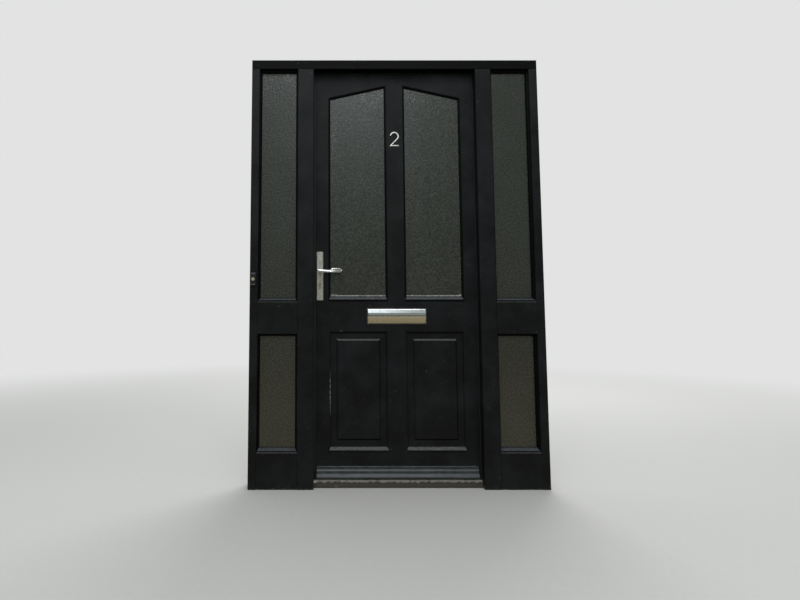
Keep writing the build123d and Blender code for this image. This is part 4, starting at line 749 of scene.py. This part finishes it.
class DOOR_OT_shape_lever(bpy.types.Operator):
    """Replaces the plain bar of the outer lever with its crowned and folded shape"""

    bl_idname = "door.shape_lever"
    bl_label = "Shape the lever"

    def execute(self, context):
        low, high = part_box("lever_outer")
        collar_radius = 11.5 * MM
        neck_x, level = low.x + collar_radius, high.z - collar_radius
        front, foot = low.y + 6.5 * MM, level - 10.5 * MM
        reach, root, tip = 112.2 * MM, 9 * MM, 11.5 * MM
        mesh = bmesh.new()
        bmesh.ops.create_grid(mesh, x_segments=60, y_segments=16, size=0.5)
        for vert in mesh.verts:
            run, across = vert.co.x + 0.5, vert.co.y + 0.5
            spot = run * (reach + root) - root
            # The bar narrows to a waist, swells towards its end and closes at the tip
            waist = math.sin(min(1.0, (spot + root) / (63 * MM)) * math.pi / 2)
            top = 17 * MM - 5 * MM * waist
            swell = share_past(spot, 50 * MM, 12 * MM)
            top += (21 * MM - top) * swell * swell * (3 - 2 * swell)
            point = share_past(spot, reach - tip, tip)
            base = 13 * MM * point
            top += (13.6 * MM - top) * point
            bow = (-33 * run + 42 * run * run) * MM
            rise = (lever_back(run) - bow) * 0.55
            vert.co = Vector((
                neck_x + spot, front + bow + lever_skin(spot, across, rise),
                foot + base + across * (top - base)))
        for vert in verts_of(bmesh.ops.extrude_face_region(mesh, geom=mesh.faces[:])):
            run = (vert.co.x - neck_x + root) / (reach + root)
            vert.co.y = front + lever_back(run)
        # The neck, and the collar that turns in the plate
        neck = (9 * MM, front + 4 * MM, high.y)
        collar = (collar_radius, high.y - 14.35 * MM, high.y - 9.35 * MM)
        for radius, start, end in (neck, collar):
            centre = Matrix.Translation((neck_x, (start + end) / 2, level))
            place = centre @ quarter_turn("X").to_4x4()
            bmesh.ops.create_cone(
                mesh, cap_ends=True, segments=40, radius1=radius, radius2=radius,
                depth=end - start, matrix=place)
        # The satin nickel of the plates, kept bright here by hands
        bright = metal("bright_nickel_lever", "#E2E2DF", "#B5B3AC",
                       0.2, (0.05, 1.0, 1.0), 1.5, 0.25)
        dress(["lever_inner"], bright)
        lever = finish_piece(mesh, "lever_outer_crowned", "lever", bright, 35)
        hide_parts("lever_outer")
        return {"FINISHED"}


# Small pieces


class DOOR_OT_fit_numeral(bpy.types.Operator):
    """Makes the flat metal number 2 and fixes it to the upper muntin"""

    bl_idname = "door.fit_numeral"
    bl_label = "Fit the number"

    def execute(self, context):
        look = settings().numeral
        leaf_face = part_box("upper_muntin")[0].y
        half = look.stroke / 2
        reach = look.width / 2 - half
        top = look.height / 2
        middle = Vector((0, 0, top - half - reach))
        mesh = bmesh.new()
        hook = [mesh.verts.new((0, 0, middle.z + reach - half)), mesh.verts.new((0, 0, top))]
        first = mesh.edges.new(hook)
        bmesh.ops.rotate(
            mesh, cent=middle, matrix=Matrix.Rotation(math.radians(-78), 3, "Y"), verts=hook)
        bmesh.ops.spin(
            mesh, geom=[first, *hook], cent=middle, axis=(0, 1, 0), dvec=(0, 0, 0),
            angle=math.radians(208), steps=26)
        mesh.verts.ensure_lookup_table()
        mesh.edges.ensure_lookup_table()
        open_ends = [e for e in mesh.edges if len(e.link_faces) == 1 and abs(
            (e.verts[0].co - middle).length - (e.verts[1].co - middle).length) > half]
        end = min(open_ends, key=lambda e: (e.verts[0].co.z + e.verts[1].co.z))
        base = -look.height / 2
        corner = verts_of(bmesh.ops.extrude_edge_only(mesh, edges=[end]))
        inner, outer = sorted(corner, key=lambda v: (v.co - middle).length)
        right = look.width / 2
        outer.co = Vector((look.stroke * 1.45 - right, 0, base + look.stroke))
        inner.co = Vector((-right, 0, base + look.stroke * 0.55))
        foot = [mesh.verts.new(spot) for spot in (
            (-right, 0, base), (right, 0, base), (right, 0, base + look.stroke))]
        mesh.faces.new([inner, *foot, outer])
        bmesh.ops.translate(mesh, vec=(look.place[0], leaf_face, look.place[2]), verts=mesh.verts)
        bmesh.ops.recalc_face_normals(mesh, faces=mesh.faces)
        raised = verts_of(bmesh.ops.extrude_face_region(mesh, geom=mesh.faces[:]))
        bmesh.ops.translate(mesh, vec=(0, -look.thickness, 0), verts=raised)
        bmesh.ops.recalc_face_normals(mesh, faces=mesh.faces)
        front = leaf_face - look.thickness
        rim = [e for e in mesh.edges if all(abs(v.co.y - front) < 1e-7 for v in e.verts)
               and any(abs(f.normal.y) < 0.5 for f in e.link_faces)]
        round_edges(mesh, rim, 0.6 * MM, 2)
        # Brushed stainless steel, cut from sheet
        steel = metal("brushed_stainless_numeral", "#FAFAF8", "#D0CFCA",
                      0.5, (0.1, 1.0, 1.0), 1.2, 0.2)
        finish_piece(mesh, "door_number", "leaf", steel, 30)
        return {"FINISHED"}


def add_screw(mesh, place, outward, head, turn):
    """Adds a countersunk screw head with a cross recess, its face just proud of the plate."""
    before = set(mesh.verts)
    radius = head / 2
    bmesh.ops.create_circle(mesh, cap_ends=True, radius=radius, segments=20)
    face = [f for f in mesh.faces if all(v not in before for v in f.verts)]
    skirt = bmesh.ops.extrude_face_region(mesh, geom=face)
    bmesh.ops.translate(mesh, vec=(0, 0, 0.22 * MM), verts=verts_of(skirt))
    bmesh.ops.inset_region(
        mesh, faces=faces_of(skirt), thickness=radius * 0.12, depth=0.12 * MM)
    for angle in (0, 90):
        arms = add_block(mesh, (radius * 1.15, radius * 0.2, 0.1 * MM), (0, 0, 0.32 * MM))
        across = Matrix.Rotation(math.radians(angle + turn), 3, "Z")
        bmesh.ops.rotate(mesh, matrix=across, verts=arms)
    new = [v for v in mesh.verts if v not in before]
    spin = Vector((0, 0, 1)).rotation_difference(Vector(outward)).to_matrix()
    bmesh.ops.rotate(mesh, matrix=spin, verts=new)
    bmesh.ops.translate(mesh, vec=place, verts=new)


def pair_of_screws(node, way, foot_mm, head_mm):
    """Two screws on a strip's edge, this far from its foot and head: places and facings."""
    low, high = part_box(node)
    edge, middle = high.x if way > 0 else low.x, (low.y + high.y) / 2
    levels = (low.z + foot_mm * MM, high.z - head_mm * MM)
    return [((edge, middle, z), (way, 0, 0)) for z in levels]


class DOOR_OT_fit_screws(bpy.types.Operator):
    """Fits the visible screw heads of the hinges, lock, keep and guard strip"""

    bl_idname = "door.fit_screws"
    bl_label = "Fit the screws"

    def execute(self, context):
        head = settings().fasteners.screw_head
        # Bright zinc plated steel screws
        zinc = metal("zinc_plated_screws", "#B4B6B8", "#9C927A",
                     0.32, (1.0, 1.0, 1.0), 2, 0.3)
        # Four in each flap of a hinge, staggered over its height
        spots = [(0.032, -0.036), (0.046, -0.012), (0.032, 0.012), (0.046, 0.036)]
        leaf_side, frame_side = (
            [((face, y, z + dz), (way, 0, 0)) for z in HINGE_LEVELS for y, dz in spots]
            for face, way in zip(HINGE_FLAP_FACES, (1, -1)))
        for name, body, places in (
                ("guard_strip_screws", "frame", pair_of_screws("guard_strip", 1, 22, 79)),
                ("forend_screws", "leaf", pair_of_screws("lock_forend", -1, 12, 12)),
                ("keep_screws", "frame", pair_of_screws("lock_keep", 1, 12, 12)),
                ("hinge_screws_leaf", "leaf", leaf_side),
                ("hinge_screws_frame", "frame", frame_side)):
            mesh = bmesh.new()
            for i, (place, outward) in enumerate(places):
                add_screw(mesh, place, outward, head, 23 * i)
            finish_piece(mesh, name, body, zinc, 30)
        return {"FINISHED"}


class DOOR_OT_fit_pellets(bpy.types.Operator):
    """Plugs the frame fixings with painted wood pellets, level with the jambs"""

    bl_idname = "door.fit_pellets"
    bl_label = "Fit the pellets"

    def execute(self, context):
        paint = bpy.data.materials["satin_black_paint_brushed_upright"]
        radius = settings().fasteners.pellet / 2
        for side, way in (("left", -1), ("right", 1)):
            mesh = bmesh.new()
            for level in FIXING_LEVELS:
                verts = bmesh.ops.create_cone(
                    mesh, cap_ends=True, segments=32, radius1=radius, radius2=radius,
                    depth=10 * MM)["verts"]
                bmesh.ops.rotate(mesh, matrix=quarter_turn("Y"), verts=verts)
                bmesh.ops.translate(
                    mesh, vec=(way * FIXING_INSET, FIXING_DEPTH, level), verts=verts)
            rim = [e for e in mesh.edges if len(e.link_faces) == 2
                   and abs(e.link_faces[0].normal.x) + abs(e.link_faces[1].normal.x) > 0.9
                   and e.calc_face_angle(0) > 1.0]
            round_edges(mesh, rim, 0.3 * MM, 1)
            finish_piece(mesh, "fixing_pellets_" + side, "frame", paint, 30)
        return {"FINISHED"}


class DOOR_OT_fit_bell_bars(bpy.types.Operator):
    """Fits the two pale bars on the bell push"""

    bl_idname = "door.fit_bell_bars"
    bl_label = "Fit the bell's bars"

    def execute(self, context):
        low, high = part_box("bell_housing")
        middle = (low.x + high.x) / 2
        mesh = bmesh.new()
        for level in (low.z + 6.5 * MM, high.z - 6.5 * MM):
            add_block(mesh, (20 * MM, 1.4 * MM, 2.4 * MM), (middle, low.y, level))
        round_edges(mesh, mesh.edges[:], 0.4 * MM, 2)
        # Grey injection moulded trim
        grey = moulded("moulded_grey_trim", "#6D7175", "#54585B", 0.38, 1.0, 0.02)
        finish_piece(mesh, "bell_bars", "frame", grey, 30)
        return {"FINISHED"}


class DOOR_OT_fit_seal_fin(bpy.types.Operator):
    """Fits the rubber fin that stands beside the lock stile in front of the leaf's edge"""

    bl_idname = "door.fit_seal_fin"
    bl_label = "Fit the seal fin"

    def execute(self, context):
        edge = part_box("guard_strip")[0].x
        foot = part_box("threshold")[1].z
        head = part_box("frame_head")[0].z
        mesh = bmesh.new()
        centre = (edge + 5 * MM, 3.2 * MM, (head + foot) / 2)
        add_block(mesh, (10 * MM, 1.4 * MM, head - foot), centre)
        front = [e for e in mesh.edges if all(
            v.co.y < 3 * MM and v.co.x > edge + MM for v in e.verts)]
        round_edges(mesh, front, 0.6 * MM, 3)
        rubber = bpy.data.materials["extruded_seal_rubber"]
        finish_piece(mesh, "lock_side_seal_fin", "frame", rubber, 40)
        return {"FINISHED"}


class DOOR_OT_run_sealant(bpy.types.Operator):
    """Runs the ragged old bead of sealant along the top of the weather bar"""

    bl_idname = "door.run_sealant"
    bl_label = "Run the sealant"

    def execute(self, context):
        low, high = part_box("weather_bar")
        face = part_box("leaf_bottom_rail")[0].y
        mesh = bmesh.new()
        ring = bmesh.ops.create_circle(mesh, cap_ends=True, radius=1.0, segments=8)["verts"]
        bmesh.ops.rotate(mesh, matrix=quarter_turn("Y"), verts=ring)
        bmesh.ops.translate(mesh, vec=(low.x + 2 * MM, 0, 0), verts=ring)
        length = high.x - low.x - 4 * MM
        count = 160
        front = mesh.faces[:]
        for step in range(count):
            made = bmesh.ops.extrude_face_region(mesh, geom=front)
            if step:
                bmesh.ops.delete(mesh, geom=front, context="FACES_ONLY")
            front = faces_of(made)
            bmesh.ops.translate(mesh, vec=(length / count, 0, 0), verts=verts_of(made))
        for vert in mesh.verts:
            wander = noise.noise(Vector((vert.co.x * 60, 3.1, 0)))
            fat = 1.7 + 0.9 * noise.noise(Vector((vert.co.x * 140, 0, 7.7)))
            vert.co.y = face + vert.co.y * fat * MM * 0.7
            vert.co.z = high.z + (0.4 + 0.5 * wander) * MM + vert.co.z * fat * MM
        # Old acrylic sealant, gone grey and chalky
        sealant = moulded("old_grey_sealant", "#3C4042", "#5E6263", 0.7, 2.5, 0.15)
        finish_piece(mesh, "weather_bar_sealant", "leaf", sealant, 60)
        return {"FINISHED"}


# Stage, light and camera


def glow(tree, colour, strength=1.0):
    """A surface that shows its own colour and needs no light."""
    return add_node(tree, "ShaderNodeEmission", {"Color": colour, "Strength": strength}).outputs[0]


def mixed_surface(tree, share, first, second):
    """Mixes two shaders."""
    return add_node(tree, "ShaderNodeMixShader", {0: share, 1: first, 2: second}).outputs[0]


def floor_material(look):
    """Pale matt floor that runs into the backdrop's colour far from the door."""
    material, tree, place = new_material("pale_floor")
    flat = add_node(tree, "ShaderNodeVectorMath", {0: place}, operation="LENGTH").outputs["Value"]
    far = remap(tree, flat, 2.2, 7.0, interpolation_type="SMOOTHSTEP")
    path = add_node(tree, "ShaderNodeLightPath").outputs
    share = compute(tree, "MULTIPLY", far, path["Is Camera Ray"])
    tone = remap(tree, mottle(tree, place, 25, 6.0, 0.7), 0.0, 1.0, 0.94, 1.04)
    colour = blend(tree, 1.0, tuple(look.floor), tone, blend_type="MULTIPLY")
    # The object sees paving of a middle tone, and the camera the pale studio floor
    colour = blend(tree, path["Is Diffuse Ray"], colour, "#817D74")
    ground = add_node(tree, "ShaderNodeBsdfPrincipled", {
        "Base Color": colour, "Roughness": 0.85, "Specular IOR Level": 0.2}).outputs[0]
    backdrop = glow(tree, tuple(look.backdrop))
    return close_material(material, mixed_surface(tree, share, ground, backdrop))


def grey(level):
    """A grey of this linear level."""
    return (level, level, level, 1.0)


def card_material():
    """Card that only reflections see: dull ground, a dark skyline, and open sky above it.

    The sky is open in front of the leaf's left light and half hidden to both sides.
    """
    material, tree, place = new_material("dark_card")
    height = axis(tree, place, "Z")
    # The skyline wanders in waves of more than a metre
    uneven = mottle(tree, place, 1 / (0.6 * MM), 4.0, 0.6)
    edge = compute(tree, "MULTIPLY_ADD", uneven, -1.2, height)
    clear = remap(tree, edge, 3.15, 4.05, interpolation_type="SMOOTHSTEP")
    across = remap(tree, axis(tree, place, "X"), -3.0, 5.0)
    gap = add_node(tree, "ShaderNodeValToRGB", {0: across}, stops=[
        (0.0, grey(0.1)), (0.25, grey(0.16)), (0.36, grey(1.0)),
        (0.48, grey(1.0)), (0.57, grey(0.3)), (0.68, grey(0.0))]).outputs[0]
    clear = compute(tree, "MULTIPLY", clear, gap)
    ground = remap(tree, height, 0.4, 0.05)
    hedge = remap(tree, height, 1.15, 0.95)
    tone = blend(tree, hedge, "#7C837C", "#2C3032")
    tone = blend(tree, ground, tone, "#918973")
    sky = glow(tree, "#E6F0F4", 1.3)
    return close_material(material, mixed_surface(tree, clear, glow(tree, tone), sky))


def pale_world(look):
    """An even pale surround: the backdrop's colour to the camera, metal and glass."""
    world = bpy.data.worlds.new("pale_surround")
    bpy.context.scene.world = world
    world.use_nodes = True
    tree = world.node_tree
    tree.nodes.clear()
    path = add_node(tree, "ShaderNodeLightPath").outputs
    sharp = compute(tree, "MAXIMUM", path["Is Glossy Ray"], path["Is Transmission Ray"])
    seen = compute(tree, "MAXIMUM", path["Is Camera Ray"], sharp)
    light = add_node(tree, "ShaderNodeBackground", {
        "Color": "#E6ECF0", "Strength": 0.6}).outputs[0]
    shown = add_node(tree, "ShaderNodeBackground", {
        "Color": tuple(look.backdrop), "Strength": 1.0}).outputs[0]
    mixed = mixed_surface(tree, seen, light, shown)
    add_node(tree, "ShaderNodeOutputWorld", {"Surface": mixed})


def add_lamp(name, place, size, power, glint=False):
    """A soft rectangular lamp aimed at the middle of the door.

    It lights and doesn't show in reflections; with glint it shows in reflections only.
    """
    data = bpy.data.lights.new(name, "AREA")
    data.shape = "RECTANGLE"
    data.size, data.size_y = size
    data.energy = power
    lamp = bpy.data.objects.new(name, data)
    lamp.location = place
    lamp.rotation_euler = (LAMP_AIM - Vector(place)).to_track_quat("-Z", "Y").to_euler()
    lamp.visible_glossy = glint
    lamp.visible_diffuse = not glint
    bpy.context.scene.collection.objects.link(lamp)


class DOOR_OT_set_stage(bpy.types.Operator):
    """Sets the floor, surround, lamps and the photograph's camera"""

    bl_idname = "door.set_stage"
    bl_label = "Set the stage"

    def execute(self, context):
        look = settings().stage
        mesh = bmesh.new()
        bmesh.ops.create_circle(mesh, cap_ends=True, radius=FLOOR_RADIUS, segments=64)
        floor = make_object(mesh, "floor", floor_material(look))
        mesh = bmesh.new()
        bmesh.ops.create_cone(
            mesh, cap_ends=False, segments=64, radius1=CARD_RADIUS, radius2=CARD_RADIUS,
            depth=CARD_HEIGHT)
        bmesh.ops.translate(
            mesh, vec=(0, 0, CARD_HEIGHT / 2 + CARD_LIFT), verts=mesh.verts)
        bmesh.ops.create_circle(
            mesh, cap_ends=True, radius=CARD_RADIUS, segments=64,
            matrix=Matrix.Translation((0, 0, CARD_LIFT)))
        card = make_object(mesh, "dark_card", card_material())
        card.visible_camera = False
        card.visible_diffuse = False
        card.visible_shadow = False
        pale_world(look)
        add_lamp("sky_front", (-0.55, -5.2, 3.2), (5.0, 3.0), 162)
        add_lamp("sky_glint", (-0.6, -2.4, 4.6), (3.5, 2.0), 85, glint=True)
        add_lamp("sky_back", (1.5, 4.5, 4.2), (4.0, 3.0), 200)
        data = bpy.data.cameras.new("photograph")
        data.lens = 26.165
        data.sensor_width = 36.0
        data.shift_x = 0.0977
        data.shift_y = -0.0544
        camera = bpy.data.objects.new("photograph", data)
        camera.location = look.camera
        camera.rotation_euler = (math.radians(90) + look.pitch, 0, 0)
        context.scene.collection.objects.link(camera)
        context.scene.camera = camera
        context.scene.view_settings.view_transform = "Standard"
        return {"FINISHED"}


# The sidebar and the run


OPERATORS = (
    DOOR_OT_paint_timber, DOOR_OT_glaze, DOOR_OT_finish_ironmongery, DOOR_OT_shape_lever,
    DOOR_OT_finish_rubber_and_plastics, DOOR_OT_fit_numeral, DOOR_OT_fit_screws,
    DOOR_OT_fit_pellets, DOOR_OT_fit_bell_bars, DOOR_OT_fit_seal_fin, DOOR_OT_run_sealant,
    DOOR_OT_set_stage,
)


class DOOR_PT_sidebar(bpy.types.Panel):
    """Lists the door's settings and the steps that dress it"""

    bl_idname = "DOOR_PT_sidebar"
    bl_label = "Entrance door"
    bl_space_type = "VIEW_3D"
    bl_region_type = "UI"
    bl_category = "Door"

    def draw(self, context):
        door = context.scene.door
        for group in (door.paint, door.glass, door.numeral, door.fasteners, door.stage):
            box = self.layout.box()
            for name in group.__annotations__:
                box.prop(group, name)
        for operator in OPERATORS:
            self.layout.operator(operator.bl_idname)


CLASSES = (
    PaintSettings, GlassSettings, NumeralSettings, FastenerSettings, StageSettings, DoorSettings,
    *OPERATORS, DOOR_PT_sidebar,
)


def register():
    for cls in CLASSES:
        bpy.utils.register_class(cls)
    bpy.types.Scene.door = bpy.props.PointerProperty(type=DoorSettings)


def unregister():
    del bpy.types.Scene.door
    for cls in reversed(CLASSES):
        bpy.utils.unregister_class(cls)


def main():
    register()
    bpy.ops.door.paint_timber()
    bpy.ops.door.glaze()
    bpy.ops.door.finish_ironmongery()
    bpy.ops.door.shape_lever()
    bpy.ops.door.finish_rubber_and_plastics()
    bpy.ops.door.fit_numeral()
    bpy.ops.door.fit_screws()
    bpy.ops.door.fit_pellets()
    bpy.ops.door.fit_bell_bars()
    bpy.ops.door.fit_seal_fin()
    bpy.ops.door.run_sealant()
    bpy.ops.door.set_stage()


if __name__ == "__main__":
    main()
